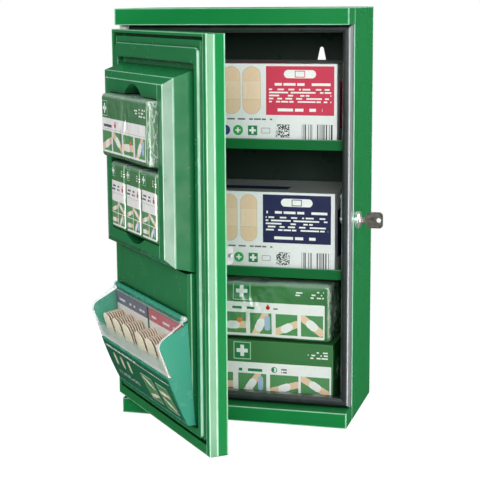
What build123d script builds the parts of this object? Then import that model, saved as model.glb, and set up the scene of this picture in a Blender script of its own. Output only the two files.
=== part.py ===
import os
from math import atan2, cos, degrees, hypot, pi, radians, sin

from build123d import *

os.makedirs("parts", exist_ok=True)

# First aid cabinet, millimetres. The origin is the centre of the case's underside, on the surface that
# the cabinet stands on or level with its lowest edge on a wall. The front faces -Y and +Z is up.
# The door stands open, as it is photographed, and everything on it is placed from the door's own planes.

# Case of folded steel sheet
case_width = 319.0
case_depth = 182.0
case_height = 560.0
sheet = 1.5
sheet_gap = 0.1
top_lip_height = 22.2
bottom_lip_height = 20.8
lip_overhang = 41.5
flange_width = 12.0
lip_corner = 1.2
back_corner = 4.0

# Holes for the wall in the back panel
keyhole_spacing = 172.0
keyhole_slot_height = 501.0
keyhole_drop = 15.0
keyhole_slot_radius = 2.8
keyhole_head_radius = 6.0
wall_hole_height = 110.0
wall_hole_radius = 3.25

# Rubber seal round the opening
seal_width = 13.3
seal_top_height = 10.5
seal_bottom_height = 12.5
seal_thickness = 15.0
seal_edge = 5.0
seal_side_gap = 0.7
seal_gap = 0.2

# Shelves and the studs that carry them
upper_shelf_share = 0.6625
lower_shelf_share = 0.34786
shelf_lip = 14.0
shelf_rear_lip = 9.0
shelf_side_gap = 1.0
shelf_front_gap = 0.5
shelf_rear_gap = 1.5
stud_radius = 2.5
stud_length = 9.0
stud_inset = 22.0
stud_seat_gap = 0.2

# Door
door_opening = 49.7
door_thickness = 24.0
door_rear_gap = 1.0
door_top_gap = 5.3
door_bottom_gap = 4.7
door_wall = 2.0
edge_bevel_width = 2.5
edge_bevel_depth = 9.4
hinge_corner = 8.0
free_corner = 2.6
edge_round = 2.0
border_left = 9.0
border_right = 12.0
border_bottom = 12.5
border_top = 4.0
pocket_depth = 8.0
rear_flange = 10.0
rear_overlap = 4.0

# Hinge pins and their bushes
hinge_inset = 8.0
hinge_depth = 15.5
hinge_pin_radius = 2.5
hinge_pin_reach = 8.0
hinge_head_radius = 4.5
hinge_head_height = 2.0
hinge_clearance = 0.05
bush_radius = 4.3
bush_length = 9.0
bush_collar_radius = 6.5
bush_seat_gap = 0.5

# Moulded insert on the door
insert_gap_left = 5.5
insert_gap = 3.5
insert_corner = 4.0
insert_edge = 2.5
ring_rise = 3.5
ring_margin_side = 3.5
ring_margin_top = 9.0
ring_margin_bottom = 2.0
ring_width = 12.0
ring_top_width = 19.0
ring_bottom_width = 10.0
ring_edge = 2.0
ring_corner = 9.0
ring_inner_corner = 5.0
recess_depth = 3.0
boss_inset_side = 20.0
insert_screw_radius = 2.0
insert_screw_head = 3.8
insert_screw_head_height = 2.2
insert_screw_bite = 4.0
screw_clearance = 0.2

# Kit pocket housing on the insert
housing_width = 240.0
housing_top_drop = 70.0
housing_bottom = 246.0
housing_shoulder_rise = 25.5
housing_shoulder_top_inset = 9.5
housing_shoulder_bottom_inset = 7.5
housing_front_rise = 31.5
housing_front_top_inset = 18.5
housing_front_bottom_inset = 15.5
housing_shoulder_inset = 1.5
housing_front_inset = 22.0
housing_edge = 1.5
housing_wall = 2.5
pouch_bay_width = 166.0
pouch_bay_top_inset = 36.0
pouch_bay_bottom_inset = 29.5
pouch_bay_floor = 2.0
bay_corner = 3.0
notch_top_radius = 39.0
notch_top_rise = 14.0
notch_bottom_radius = 58.5
notch_bottom_drop = 9.5
ledge_share = 11 / 21
ledge_thickness = 2.0
ledge_setback = 4.0

# Plaster dispenser and the plate that it hangs on
plate_bend_rise = 11.6
plate_bend_height = 186.0
plate_bottom_height = 54.5
plate_bottom_rise = 2.8
plate_wall = 3.0
plate_housing_gap = 0.3
dispenser_width = 243.0
dispenser_wall = 2.5
dispenser_seat_gap = 0.3
dispenser_bottom = 57.0
front_bottom_rise = 12.5
front_top_rise = 37.9
front_bulge = 1.2
front_rim = 3.1
front_top_height = 119.2
pivot_rise = 15.6
pivot_height = 191.0
rail_radius = 3.2
knuckle_length = 5.5
knuckle_gap = 0.3
rod_radius = 1.5
rod_clearance = 0.05
lid_thickness = 1.8
lid_edge_radius = 2.0
lid_top = (19.4, 184.5)
lid_nose = (38.1, 159.1)
lid_nose_radius = 12.4
lid_bottom = (36.2, 122.2)
lid_seat_gap = 0.4
label_thickness = 0.5
label_gap = 0.1
label_margin = 4.0
hook_screw_radius = 2.0
hook_screw_head = 3.6
hook_screw_head_height = 1.8
hook_screw_drop = 14.0
hook_screw_inset = 45.0

# Plaster refills in the dispenser
refill_gap = 4.0
refill_side_gap = 1.5
card_thickness = 1.0
card_gap = 0.4
card_margin = 2.5
card_top = 182.0
tray_wall = 1.2
tray_gap = 0.5
tray_top = 117.0
tray_low = 82.0
strips_per_column = 8
columns_per_refill = 3
strip_width = 27.0
strip_thickness = 0.8
strip_pitch = 0.95
strip_column_spacing = 36.5
strip_seat_gap = 0.6
strip_corner = 12.0
strip_length = 76.0
strip_fan = 17.0

# Side lock and key
lock_inset = 22.5
lock_axis_z = 275.6
lock_flange_radius = 12.0
lock_flange_thickness = 5.5
lock_flange_chamfer = 1.8
lock_barrel_radius = 9.0
lock_barrel_length = 18.0
lock_hole_clearance = 0.2
nut_across_flats = 24.0
nut_thickness = 4.0
plug_radius = 6.4
plug_clearance = 0.06
plug_proud = 0.6
plug_tail = 6.6
plug_tail_clearance = 0.1
keyway_width = 2.6
keyway_height = 8.6
keyway_depth = 17.0
cam_thickness = 2.5
cam_gap = 0.3
cam_width = 10.0
cam_reach = 35.5
cam_hook_width = 6.0
cam_hook_drop = 12.6
cam_screw_radius = 1.9
cam_screw_head_radius = 3.6
cam_screw_head_height = 2.0
cam_screw_bite = 8.0
key_thickness = 2.2
key_blade_height = 7.6
key_tip_gap = 1.0
key_shank_length = 7.0
key_bow_length = 23.0
key_bow_height = 22.0
key_hole_radius = 3.2
key_hole_inset = 5.6
key_bow_corner = 5.0

# Strike on the back of the door, which the cam's hook catches
strike_sheet = 2.0
strike_base_width = 13.0
strike_base_height = 42.0
strike_edge = 1.5
strike_tongue_height = 22.0
strike_corner = 4.0
strike_cam_gap = 1.0
strike_pin_radius = 2.5
strike_pin_length = 8.5
strike_play = 2.0
strike_pin_gap = 0.5
strike_screw_radius = 1.7
strike_screw_head = 3.2
strike_screw_head_height = 1.6
strike_screw_spacing = 32.0

# Contents
content_front_gap = 3.0
content_seat_gap = 0.3
carton_edge = 0.8
upper_box_right = 135.0
upper_box_height = 113.0
middle_box_right = 132.8
middle_box_height = 115.4
kit_box_right = 131.5
kit_box_height = 81.2
refill_box_width = 242.0
refill_box_rear_gap = 6.5
kit_box_width = 238.0
kit_box_depth = 105.0
film_pack_right = 131.0
film_pack_top_gap = 7.3
film_pack_width = 236.0
film_pack_depth = 104.0
film_pack_round = 11.0
film_seam_reach = 8.0
film_seam_thickness = 3.0
pouch_front_rise = 42.0
pouch_top_gap = 1.0
pouch_side_gap = 1.5
pouch_back_gap = 1.0
pouch_round = 8.0
sachet_top_gap = 5.0
sachet_front_rise = 30.5
sachet_spacing = 55.0
sachet_width = 53.5
sachet_round = 5.0

# Places that follow from the sizes above
half_width = case_width / 2
front_y = -case_depth / 2
back_y = case_depth / 2
opening_y = front_y + lip_overhang
ceiling_z = case_height - top_lip_height
floor_z = bottom_lip_height
inner_half = half_width - sheet
shelf_heights = {"upper": round(upper_shelf_share * case_height, 1),
                 "lower": round(lower_shelf_share * case_height, 1)}
lock_axis_y = opening_y + lock_inset
seal_front_y = opening_y - seal_thickness
door_rear_y = seal_front_y - door_rear_gap
door_face_y = door_rear_y - door_thickness
door_top = ceiling_z - door_top_gap
door_bottom = floor_z + door_bottom_gap
door_height = door_top - door_bottom
door_width = case_width
hinge_x = -half_width + hinge_inset
hinge_y = door_face_y + hinge_depth

# Planes of the door. "along" runs from the hinge edge to the free edge, "out" points away from its face.
swing = radians(door_opening)
along = Vector(cos(swing), -sin(swing), 0)
out = Vector(-sin(swing), -cos(swing), 0)
door_corner = Vector(hinge_x, hinge_y, 0) - along * hinge_inset + out * hinge_depth
door_section = Plane(origin=door_corner, x_dir=along, z_dir=(0, 0, 1))
door_face = Plane(origin=door_corner, x_dir=along, z_dir=out)


def door_side(distance):
    """Upright plane square to the door's face: x is the rise above the face, y is the height."""
    return Plane(origin=door_corner + along * distance, x_dir=out, z_dir=along * -1)


def save(builder, name):
    builder.part.label = name
    export_step(builder.part, f"parts/{name}.step")


def rectangle(x0, x1, y0, y1):
    """A rectangle between two pairs of limits, in the sketch that is open."""
    with Locations(((x0 + x1) / 2, (y0 + y1) / 2)):
        Rectangle(x1 - x0, y1 - y0)


def block(plane, rise, limits, height, corner=0.0, mode=Mode.ADD):
    """A block that stands on a plane, from a rise above it, over (across, across, low, high) limits."""
    with BuildSketch(plane.offset(rise)) as base:
        rectangle(*limits)
        if corner:
            fillet(base.vertices(), corner)
    extrude(base.sketch, amount=height, mode=mode)


# Side panels: a side, and a flange that returns inwards to carry the seal
def side_panel(side):
    """One side of the case. side is -1 for the left and 1 for the right."""
    with BuildPart() as panel:
        with BuildSketch(Plane.XY):
            rectangle(*sorted((side * inner_half, side * half_width)), opening_y, back_y)
        extrude(amount=case_height)
        with BuildSketch(Plane.XY.offset(floor_z)):
            rectangle(*sorted((side * (half_width - flange_width), side * half_width)),
                      opening_y, opening_y + sheet)
        extrude(amount=ceiling_z - floor_z)
        outer_edges = panel.edges().filter_by(Axis.Z).filter_by_position(
            Axis.X, *sorted((side * (half_width - 0.01), side * (half_width + 0.01))))
        fillet(outer_edges.group_by(Axis.Y)[0], lip_corner)
        if side > 0:
            with BuildSketch(Plane.YZ.offset(half_width)):
                with Locations((lock_axis_y, lock_axis_z)):
                    Circle(lock_barrel_radius + lock_hole_clearance)
            extrude(amount=-2 * sheet, mode=Mode.SUBTRACT)
    return panel


save(side_panel(-1), "left_side_panel")
save(side_panel(1), "right_side_panel")

# Back panel, with two keyholes to hang it by and two holes to fix it below
with BuildPart() as back_panel:
    with BuildSketch(Plane.XZ.offset(-back_y)):
        rectangle(-inner_half + sheet_gap, inner_half - sheet_gap, 0, case_height)
        fillet(vertices().group_by(Axis.Y)[-1], back_corner)
    extrude(amount=sheet)
    for keyhole_x in (-keyhole_spacing / 2, keyhole_spacing / 2):
        with BuildSketch(Plane.XZ.offset(-back_y)):
            with Locations((keyhole_x, keyhole_slot_height)):
                Circle(keyhole_slot_radius)
            with Locations((keyhole_x, keyhole_slot_height - keyhole_drop)):
                Circle(keyhole_head_radius)
            make_hull()
        extrude(amount=sheet, mode=Mode.SUBTRACT)
    with BuildSketch(Plane.XZ.offset(-back_y)):
        with Locations((-keyhole_spacing / 2, wall_hole_height), (keyhole_spacing / 2, wall_hole_height)):
            Circle(wall_hole_radius)
    extrude(amount=sheet, mode=Mode.SUBTRACT)
save(back_panel, "back_panel")


# Top cap and bottom tray: a plate with a lip along its front and short sides
def lipped_pan(plate_z, lip_z, lip_height, name):
    """A plate between the side panels that widens in front of them and carries a folded lip."""
    rear_edge = back_y - sheet - sheet_gap
    with BuildPart() as pan:
        with BuildSketch(Plane.XY.offset(plate_z)):
            rectangle(-inner_half + sheet_gap, inner_half - sheet_gap, front_y, rear_edge)
            rectangle(-half_width, half_width, front_y, opening_y - sheet_gap)
        extrude(amount=sheet)
        with BuildSketch(Plane.XY.offset(lip_z)):
            rectangle(-half_width, half_width, front_y, opening_y - sheet_gap)
            with Locations((0, (front_y + opening_y) / 2 + sheet)):
                Rectangle(2 * inner_half, lip_overhang, mode=Mode.SUBTRACT)
        extrude(amount=lip_height)
        front_corners = pan.edges().filter_by(Axis.Z).group_by(Axis.Y)[0]
        fillet(front_corners, lip_corner)
        long_edges = pan.edges().filter_by(Axis.X).group_by(Axis.Y)[0]
        fillet(long_edges, sheet / 3)
    save(pan, name)


lipped_pan(case_height - sheet, ceiling_z, top_lip_height, "top_cap")
lipped_pan(0, 0, bottom_lip_height, "bottom_tray")


# Ceiling and floor panels close the cap and the tray, and hold the hinge pins
def closing_panel(low_z, name):
    with BuildPart() as panel:
        with BuildSketch(Plane.XY.offset(low_z)):
            rectangle(-inner_half + sheet_gap, inner_half - sheet_gap,
                      front_y + sheet + sheet_gap, back_y - sheet - sheet_gap)
            with Locations((hinge_x, hinge_y)):
                Circle(hinge_pin_radius + hinge_clearance, mode=Mode.SUBTRACT)
        extrude(amount=sheet)
    save(panel, name)


closing_panel(ceiling_z, "ceiling_panel")
closing_panel(floor_z - sheet, "floor_panel")

# Seal: a rounded rubber frame that the closed door lies against
with BuildPart() as door_seal:
    with BuildSketch(Plane.XZ.offset(-opening_y)):
        rectangle(-half_width + seal_side_gap, half_width - seal_side_gap,
                  floor_z + seal_gap, ceiling_z - seal_gap)
        with Locations((0, (floor_z + seal_bottom_height + ceiling_z - seal_top_height) / 2)):
            Rectangle(2 * (half_width - seal_side_gap - seal_width),
                      ceiling_z - seal_top_height - floor_z - seal_bottom_height, mode=Mode.SUBTRACT)
    extrude(amount=seal_thickness)
    fillet(door_seal.faces().sort_by(Axis.Y)[0].edges(), seal_edge)
save(door_seal, "door_seal")

# Shelves: shallow trays that rest on studs
shelf_half = inner_half - shelf_side_gap
shelf_front = opening_y + sheet + shelf_front_gap
shelf_rear = back_y - sheet - shelf_rear_gap
for place, shelf_z in shelf_heights.items():
    with BuildPart() as shelf:
        with BuildSketch(Plane.XY.offset(shelf_z)):
            rectangle(-shelf_half, shelf_half, shelf_front, shelf_rear)
        extrude(amount=sheet)
        with BuildSketch(Plane.XY.offset(shelf_z)):
            rectangle(-shelf_half, shelf_half, shelf_front, shelf_front + sheet)
        extrude(amount=shelf_lip)
        with BuildSketch(Plane.XY.offset(shelf_z)):
            rectangle(-shelf_half, shelf_half, shelf_rear - sheet, shelf_rear)
        extrude(amount=shelf_rear_lip)
        fillet(shelf.edges().filter_by(Axis.X).group_by(Axis.Y)[0], sheet / 3)
    save(shelf, f"{place}_shelf")

with BuildPart() as shelf_studs:
    for shelf_z in shelf_heights.values():
        stud_z = shelf_z - stud_radius - stud_seat_gap
        for stud_side in (-1, 1):
            with BuildSketch(Plane.YZ.offset(stud_side * inner_half)):
                with Locations((shelf_front + stud_inset, stud_z), (shelf_rear - stud_inset, stud_z)):
                    Circle(stud_radius)
            extrude(amount=-stud_side * stud_length)
save(shelf_studs, "shelf_studs")


# Hinge pins: a shank through the closing panel into the door's bush, with a head behind the panel
def hinge_pin(seat_z, tip_z, name):
    head_step = hinge_head_height if seat_z > tip_z else -hinge_head_height
    with BuildPart() as pin:
        with BuildSketch(Plane.XY.offset(seat_z)):
            with Locations((hinge_x, hinge_y)):
                Circle(hinge_pin_radius)
        extrude(amount=tip_z - seat_z)
        chamfer(pin.edges().group_by(Axis.Z)[0 if seat_z > tip_z else -1], hinge_pin_radius / 4)
        with BuildSketch(Plane.XY.offset(seat_z)):
            with Locations((hinge_x, hinge_y)):
                Circle(hinge_head_radius)
        extrude(amount=head_step)
    save(pin, name)


hinge_pin(ceiling_z + sheet, door_top - hinge_pin_reach, "upper_hinge_pin")
hinge_pin(floor_z - sheet, door_bottom + hinge_pin_reach, "lower_hinge_pin")


# Hinge bushes: a sleeve in the door's end wall and a collar in the gap between door and case
def hinge_bush(wall_z, inward, collar_height, name):
    """wall_z is the door's end face and inward is -1 at its top or 1 at its bottom."""
    with BuildPart() as bush:
        with BuildSketch(Plane.XY.offset(wall_z)):
            with Locations((hinge_x, hinge_y)):
                Circle(bush_radius)
        extrude(amount=inward * bush_length)
        with BuildSketch(Plane.XY.offset(wall_z)):
            with Locations((hinge_x, hinge_y)):
                Circle(bush_collar_radius)
        extrude(amount=-inward * collar_height)
        with BuildSketch(Plane.XY.offset(wall_z + inward * bush_length)):
            with Locations((hinge_x, hinge_y)):
                Circle(hinge_pin_radius + hinge_clearance)
        extrude(amount=-inward * (bush_length + collar_height), mode=Mode.SUBTRACT)
    save(bush, name)


hinge_bush(door_top, -1, door_top_gap - bush_seat_gap, "upper_hinge_bush")
hinge_bush(door_bottom, 1, door_bottom_gap - bush_seat_gap, "lower_hinge_bush")

# Door shell: a hollow pan with a shallow pocket in its face for the moulded insert
face_pocket = (border_left, door_width - border_right, door_bottom + border_bottom, door_top - border_top)
pocket_walls = (face_pocket[0] - door_wall, face_pocket[1] + door_wall,
                face_pocket[2] - door_wall, face_pocket[3] + door_wall)
rear_opening = (door_wall + rear_flange, door_width - door_wall - rear_flange,
                door_bottom + door_wall + rear_flange, door_top - door_wall - rear_flange)
insert_area = (face_pocket[0] + insert_gap_left, face_pocket[1] - insert_gap,
               face_pocket[2] + insert_gap, face_pocket[3] - insert_gap)
insert_centre = (insert_area[0] + insert_area[1]) / 2
boss_columns = (insert_area[0] + boss_inset_side, insert_area[1] - boss_inset_side)
boss_rows = (insert_area[2] + boss_inset_side, (housing_bottom + plate_bend_height) / 2,
             insert_area[3] - boss_inset_side)
boss_places = [(column, row) for column in boss_columns for row in boss_rows]


def door_outline(inset):
    """The door's level section, drawn inset from its faces. Its hinge corner is rounded to clear the seal."""
    with BuildLine() as outline:
        Polyline((inset, inset),
                 (door_width - edge_bevel_width - inset, inset),
                 (door_width - inset, edge_bevel_depth),
                 (door_width - inset, door_thickness - inset),
                 (inset, door_thickness - inset),
                 close=True)
    make_face(outline.line)


with BuildPart() as door_shell:
    with BuildSketch(door_section.offset(door_bottom)):
        door_outline(0)
        fillet(vertices().group_by(Axis.Y)[-1].sort_by(Axis.X)[0], hinge_corner)
        fillet(vertices().group_by(Axis.Y)[-1].sort_by(Axis.X)[-1], edge_round)
    extrude(amount=door_height)
    with BuildSketch(door_face):
        rectangle(0, door_width, door_bottom, door_bottom + door_height)
        fillet(vertices().group_by(Axis.X)[-1], free_corner)
    extrude(amount=-door_thickness, mode=Mode.INTERSECT)
    with BuildSketch(door_section.offset(door_bottom + door_wall)):
        door_outline(door_wall)
        fillet(vertices().group_by(Axis.Y)[-1].sort_by(Axis.X)[0], hinge_corner - door_wall)
    extrude(amount=door_height - 2 * door_wall, mode=Mode.SUBTRACT)
    block(door_face, -pocket_depth - door_wall, pocket_walls, pocket_depth + door_wall)
    block(door_face, -pocket_depth, face_pocket, pocket_depth, mode=Mode.SUBTRACT)
    block(door_face, -door_thickness, rear_opening, door_wall, mode=Mode.SUBTRACT)
    with BuildSketch(door_face.offset(-pocket_depth - door_wall)):
        with Locations(*boss_places):
            Circle(insert_screw_radius + screw_clearance)
    extrude(amount=door_wall, mode=Mode.SUBTRACT)
    with BuildSketch(Plane.XY.offset(door_bottom)):
        with Locations((hinge_x, hinge_y)):
            Circle(bush_radius)
    extrude(amount=door_height, mode=Mode.SUBTRACT)
save(door_shell, "door_shell")

# Rear panel, which closes the door's hollow from inside and carries the strike
rear_face = -(door_thickness - door_wall)
rear_panel_area = (rear_opening[0] - rear_overlap, rear_opening[1] + rear_overlap,
                   rear_opening[2] - rear_overlap, rear_opening[3] + rear_overlap)
cam_outer_x = half_width - lock_barrel_length - cam_gap
cam_inner_x = cam_outer_x - cam_thickness
strike_pin_y = lock_axis_y - cam_reach + cam_hook_width + strike_play + strike_pin_radius
strike_pin_z = lock_axis_z - cam_width / 2 - strike_pin_gap - strike_pin_radius
strike_pin_rise = door_face_y - strike_pin_y
strike_reach = rear_face - strike_pin_rise + strike_pin_radius + strike_edge
tongue_edge = cam_inner_x - strike_cam_gap + half_width
strike_screw_places = [(tongue_edge - (strike_sheet + strike_base_width) / 2,
                        strike_pin_z + side * strike_screw_spacing / 2) for side in (-1, 1)]

with BuildPart() as door_rear_panel:
    block(door_face, rear_face, rear_panel_area, door_wall)
    with BuildSketch(door_face.offset(rear_face)):
        with Locations(*strike_screw_places):
            Circle(strike_screw_radius + screw_clearance)
    extrude(amount=door_wall, mode=Mode.SUBTRACT)
save(door_rear_panel, "door_rear_panel")

# Strike: a bent bracket, two screws, and the pin that the lock's hook pulls on
with BuildPart() as strike_bracket:
    block(door_face, rear_face - strike_sheet,
          (tongue_edge - strike_base_width, tongue_edge,
           strike_pin_z - strike_base_height / 2, strike_pin_z + strike_base_height / 2), strike_sheet)
    with BuildSketch(door_side(tongue_edge)):
        rectangle(rear_face - strike_reach, rear_face,
                  strike_pin_z - strike_tongue_height / 2, strike_pin_z + strike_tongue_height / 2)
        fillet(vertices().group_by(Axis.X)[0], strike_corner)
    extrude(amount=strike_sheet)
    with BuildSketch(door_side(tongue_edge)):
        with Locations((strike_pin_rise, strike_pin_z)):
            Circle(strike_pin_radius)
    extrude(amount=strike_sheet, mode=Mode.SUBTRACT)
    with BuildSketch(door_face.offset(rear_face - strike_sheet)):
        with Locations(*strike_screw_places):
            Circle(strike_screw_radius + screw_clearance)
    extrude(amount=strike_sheet, mode=Mode.SUBTRACT)
save(strike_bracket, "strike_bracket")

with BuildPart() as strike_pin:
    with BuildSketch(door_side(tongue_edge - strike_sheet)):
        with Locations((strike_pin_rise, strike_pin_z)):
            Circle(strike_pin_radius)
    extrude(amount=-strike_pin_length)
save(strike_pin, "strike_pin")


def screw_group(plane, places, head_radius, head_height, shank_radius, shank_length, name):
    """Pan-head screws whose heads stand on a plane and whose shanks run against its normal."""
    with BuildPart() as screws:
        with BuildSketch(plane):
            with Locations(*places):
                Circle(head_radius)
        extrude(amount=head_height)
        fillet(screws.faces().sort_by(Axis(plane.origin, plane.z_dir))[-len(places):].edges(), head_height / 3)
        with BuildSketch(plane):
            with Locations(*places):
                Circle(shank_radius)
        extrude(amount=-shank_length)
    save(screws, name)


door_inside = Plane(origin=door_corner, x_dir=along * -1, z_dir=out * -1)
screw_group(door_inside.offset(-rear_face + strike_sheet),
            [(-place[0], place[1]) for place in strike_screw_places],
            strike_screw_head, strike_screw_head_height, strike_screw_radius, strike_sheet + door_wall + 2,
            "strike_screws")

# Moulded insert in the face of the door: a plate with a raised ring round a lower floor
ring_area = (insert_area[0] + ring_margin_side, insert_area[1] - ring_margin_side,
             insert_area[2] + ring_margin_bottom, insert_area[3] - ring_margin_top)
floor_area = (ring_area[0] + ring_width, ring_area[1] - ring_width,
              ring_area[2] + ring_bottom_width, ring_area[3] - ring_top_width)
with BuildPart() as door_insert:
    block(door_face, -pocket_depth, insert_area, pocket_depth, insert_corner)
    fillet(door_insert.faces().sort_by(Axis(door_corner, out))[-1].edges(), insert_edge)
    block(door_face, 0, ring_area, ring_rise, ring_corner)
    block(door_face, -recess_depth, floor_area, recess_depth + ring_rise, ring_inner_corner, Mode.SUBTRACT)
    fillet(door_insert.faces().sort_by(Axis(door_corner, out))[-1].edges(), ring_edge)
    with BuildSketch(door_face.offset(-pocket_depth)):
        with Locations(*boss_places):
            Circle(insert_screw_radius)
    extrude(amount=insert_screw_bite, mode=Mode.SUBTRACT)
save(door_insert, "door_insert")

screw_group(door_inside.offset(pocket_depth + door_wall), [(-place[0], place[1]) for place in boss_places],
            insert_screw_head, insert_screw_head_height, insert_screw_radius, door_wall + insert_screw_bite,
            "insert_screws")

# Kit pocket housing: a tapered shell with a bay, a ledge across it and two finger notches
housing_top = case_height - housing_top_drop
pouch_bay_top = housing_top - pouch_bay_top_inset
pouch_bay_bottom = housing_bottom + pouch_bay_bottom_inset
ledge_height = pouch_bay_bottom + (pouch_bay_top - pouch_bay_bottom) * ledge_share
housing_base = (insert_centre - housing_width / 2, insert_centre + housing_width / 2,
                housing_bottom, housing_top)
housing_shoulder = (housing_base[0] + housing_shoulder_inset, housing_base[1] - housing_shoulder_inset,
                    housing_bottom + housing_shoulder_bottom_inset, housing_top - housing_shoulder_top_inset)
housing_front = (housing_base[0] + housing_front_inset, housing_base[1] - housing_front_inset,
                 housing_bottom + housing_front_bottom_inset, housing_top - housing_front_top_inset)
bay = (insert_centre - pouch_bay_width / 2, insert_centre + pouch_bay_width / 2,
       pouch_bay_bottom, pouch_bay_top)
bay_depth = housing_front_rise - pouch_bay_floor
with BuildPart() as pocket_housing:
    with BuildSketch(door_side(housing_base[1])):
        with BuildLine():
            Polyline((-recess_depth, housing_base[2]), (housing_shoulder_rise, housing_shoulder[2]),
                     (housing_front_rise, housing_front[2]), (housing_front_rise, housing_front[3]),
                     (housing_shoulder_rise, housing_shoulder[3]), (-recess_depth, housing_base[3]), close=True)
        make_face()
    extrude(amount=housing_width)
    with BuildSketch(door_section.offset(housing_base[2])):
        with BuildLine():
            Polyline((housing_base[0], recess_depth), (housing_shoulder[0], -housing_shoulder_rise),
                     (housing_front[0], -housing_front_rise), (housing_front[1], -housing_front_rise),
                     (housing_shoulder[1], -housing_shoulder_rise), (housing_base[1], recess_depth), close=True)
        make_face()
    extrude(amount=housing_base[3] - housing_base[2], mode=Mode.INTERSECT)
    fillet(pocket_housing.faces().sort_by(Axis(door_corner, out))[-1].edges(), housing_edge)
    for bay_low, bay_high in ((bay[2], ledge_height), (ledge_height + ledge_thickness, bay[3])):
        block(door_face, pouch_bay_floor, (bay[0], bay[1], bay_low, bay_high), bay_depth, bay_corner,
              Mode.SUBTRACT)
    block(door_face, housing_front_rise - ledge_setback, bay, ledge_setback, bay_corner, Mode.SUBTRACT)
    for bay_edge, notch_reach, notch_centre, notch_radius in (
            (pouch_bay_top, notch_top_rise, pouch_bay_top + notch_top_rise - notch_top_radius,
             notch_top_radius),
            (pouch_bay_bottom, notch_bottom_drop, pouch_bay_bottom - notch_bottom_drop + notch_bottom_radius,
             notch_bottom_radius)):
        with BuildSketch(door_face.offset(pouch_bay_floor)):
            with Locations((insert_centre, notch_centre)):
                Circle(notch_radius)
            with Locations((insert_centre, bay_edge)):
                Rectangle(pouch_bay_width - 2 * bay_corner, 3 * notch_reach, mode=Mode.INTERSECT)
        extrude(amount=bay_depth, mode=Mode.SUBTRACT)
    for hollow_side in ((housing_base[0] + 2 * housing_wall, bay[0] - housing_wall),
                        (bay[1] + housing_wall, housing_base[1] - 2 * housing_wall)):
        block(door_face, -recess_depth,
              (*hollow_side, housing_shoulder[2] + housing_wall, housing_shoulder[3] - housing_wall),
              housing_shoulder_rise - housing_wall + recess_depth, mode=Mode.SUBTRACT)
save(pocket_housing, "pocket_housing")

# Pouches in the bay: a dressing pack on the ledge and three small packs below it
with BuildPart() as dressing_pouch:
    block(door_face, pouch_bay_floor + pouch_back_gap,
          (bay[0] + pouch_side_gap, bay[1] - pouch_side_gap,
           ledge_height + ledge_thickness + content_seat_gap, pouch_bay_top - pouch_top_gap),
          pouch_front_rise - pouch_bay_floor - pouch_back_gap, pouch_round)
    fillet(dressing_pouch.faces().sort_by(Axis(door_corner, out))[-1].edges(), 2 * pouch_round)
save(dressing_pouch, "dressing_pouch")

for sachet_column, sachet_name in ((-1, "left"), (0, "middle"), (1, "right")):
    sachet_at = insert_centre + sachet_column * sachet_spacing
    with BuildPart() as sachet:
        block(door_face, pouch_bay_floor + pouch_back_gap,
              (sachet_at - sachet_width / 2, sachet_at + sachet_width / 2,
               pouch_bay_bottom + content_seat_gap, ledge_height - sachet_top_gap),
              sachet_front_rise - pouch_bay_floor - pouch_back_gap, sachet_round)
        fillet(sachet.faces().sort_by(Axis(door_corner, out))[-1].edges(), 2 * sachet_round)
    save(sachet, f"{sachet_name}_mini_pouch")

# Dispenser plate: a moulded base below the housing, upright above its bend and leaning below it
plate_slope = (plate_bend_rise - plate_bottom_rise) / (plate_bend_height - plate_bottom_height)
lean_angle = atan2(plate_slope, 1)
lean_out = out * cos(lean_angle) - Vector(0, 0, sin(lean_angle))
lean = Plane(origin=door_corner + out * plate_bend_rise + Vector(0, 0, plate_bend_height),
             x_dir=along, z_dir=lean_out)


def plate_rise(height):
    """Rise of the plate's leaning face at a height."""
    return plate_bend_rise - (plate_bend_height - height) * plate_slope


def plate_section(inset):
    top = housing_bottom - plate_housing_gap - inset
    low = plate_bottom_height + inset
    with BuildLine() as outline:
        Polyline((-recess_depth, top), (plate_bend_rise - inset, top),
                 (plate_bend_rise - inset, plate_bend_height),
                 (max(plate_rise(low) - inset, inset / 2 - recess_depth), low), (-recess_depth, low),
                 close=True)
    make_face(outline.line)


with BuildPart() as dispenser_plate:
    with BuildSketch(door_side(housing_base[1])):
        plate_section(0)
    extrude(amount=housing_width)
    with BuildSketch(door_side(housing_base[1] - plate_wall)):
        plate_section(plate_wall)
    extrude(amount=housing_width - 2 * plate_wall, mode=Mode.SUBTRACT)
    hang_places = [(insert_centre + side * (dispenser_width / 2 - hook_screw_inset),
                    -hook_screw_drop / cos(lean_angle)) for side in (-1, 1)]
    with BuildSketch(lean):
        with Locations(*hang_places):
            Circle(hook_screw_radius)
    extrude(amount=-plate_wall, mode=Mode.SUBTRACT)
save(dispenser_plate, "dispenser_plate")

# Dispenser: a trough with a curved front that hangs on the plate
dispenser_left = insert_centre - dispenser_width / 2
dispenser_right = insert_centre + dispenser_width / 2
front_chord = hypot(front_top_rise - front_bottom_rise, front_top_height - dispenser_bottom)
front_radius = (front_chord ** 2 / 4 + front_bulge ** 2) / (2 * front_bulge)
front_normal = atan2(front_bottom_rise - front_top_rise, front_top_height - dispenser_bottom)
front_centre = ((front_bottom_rise + front_top_rise) / 2 - (front_radius - front_bulge) * cos(front_normal),
                (dispenser_bottom + front_top_height) / 2 - (front_radius - front_bulge) * sin(front_normal))


def front_at(height, inset):
    """A point of the dispenser's front, moved in from its outer face, at a height."""
    reach = front_radius - inset
    height_above = height - front_centre[1]
    return (front_centre[0] + (reach ** 2 - height_above ** 2) ** 0.5, height)


def back_at(height, inset):
    """A point of the dispenser's back, moved in from its outer face, at a height."""
    return (plate_rise(height) + (dispenser_seat_gap + inset) / cos(lean_angle), height)


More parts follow.
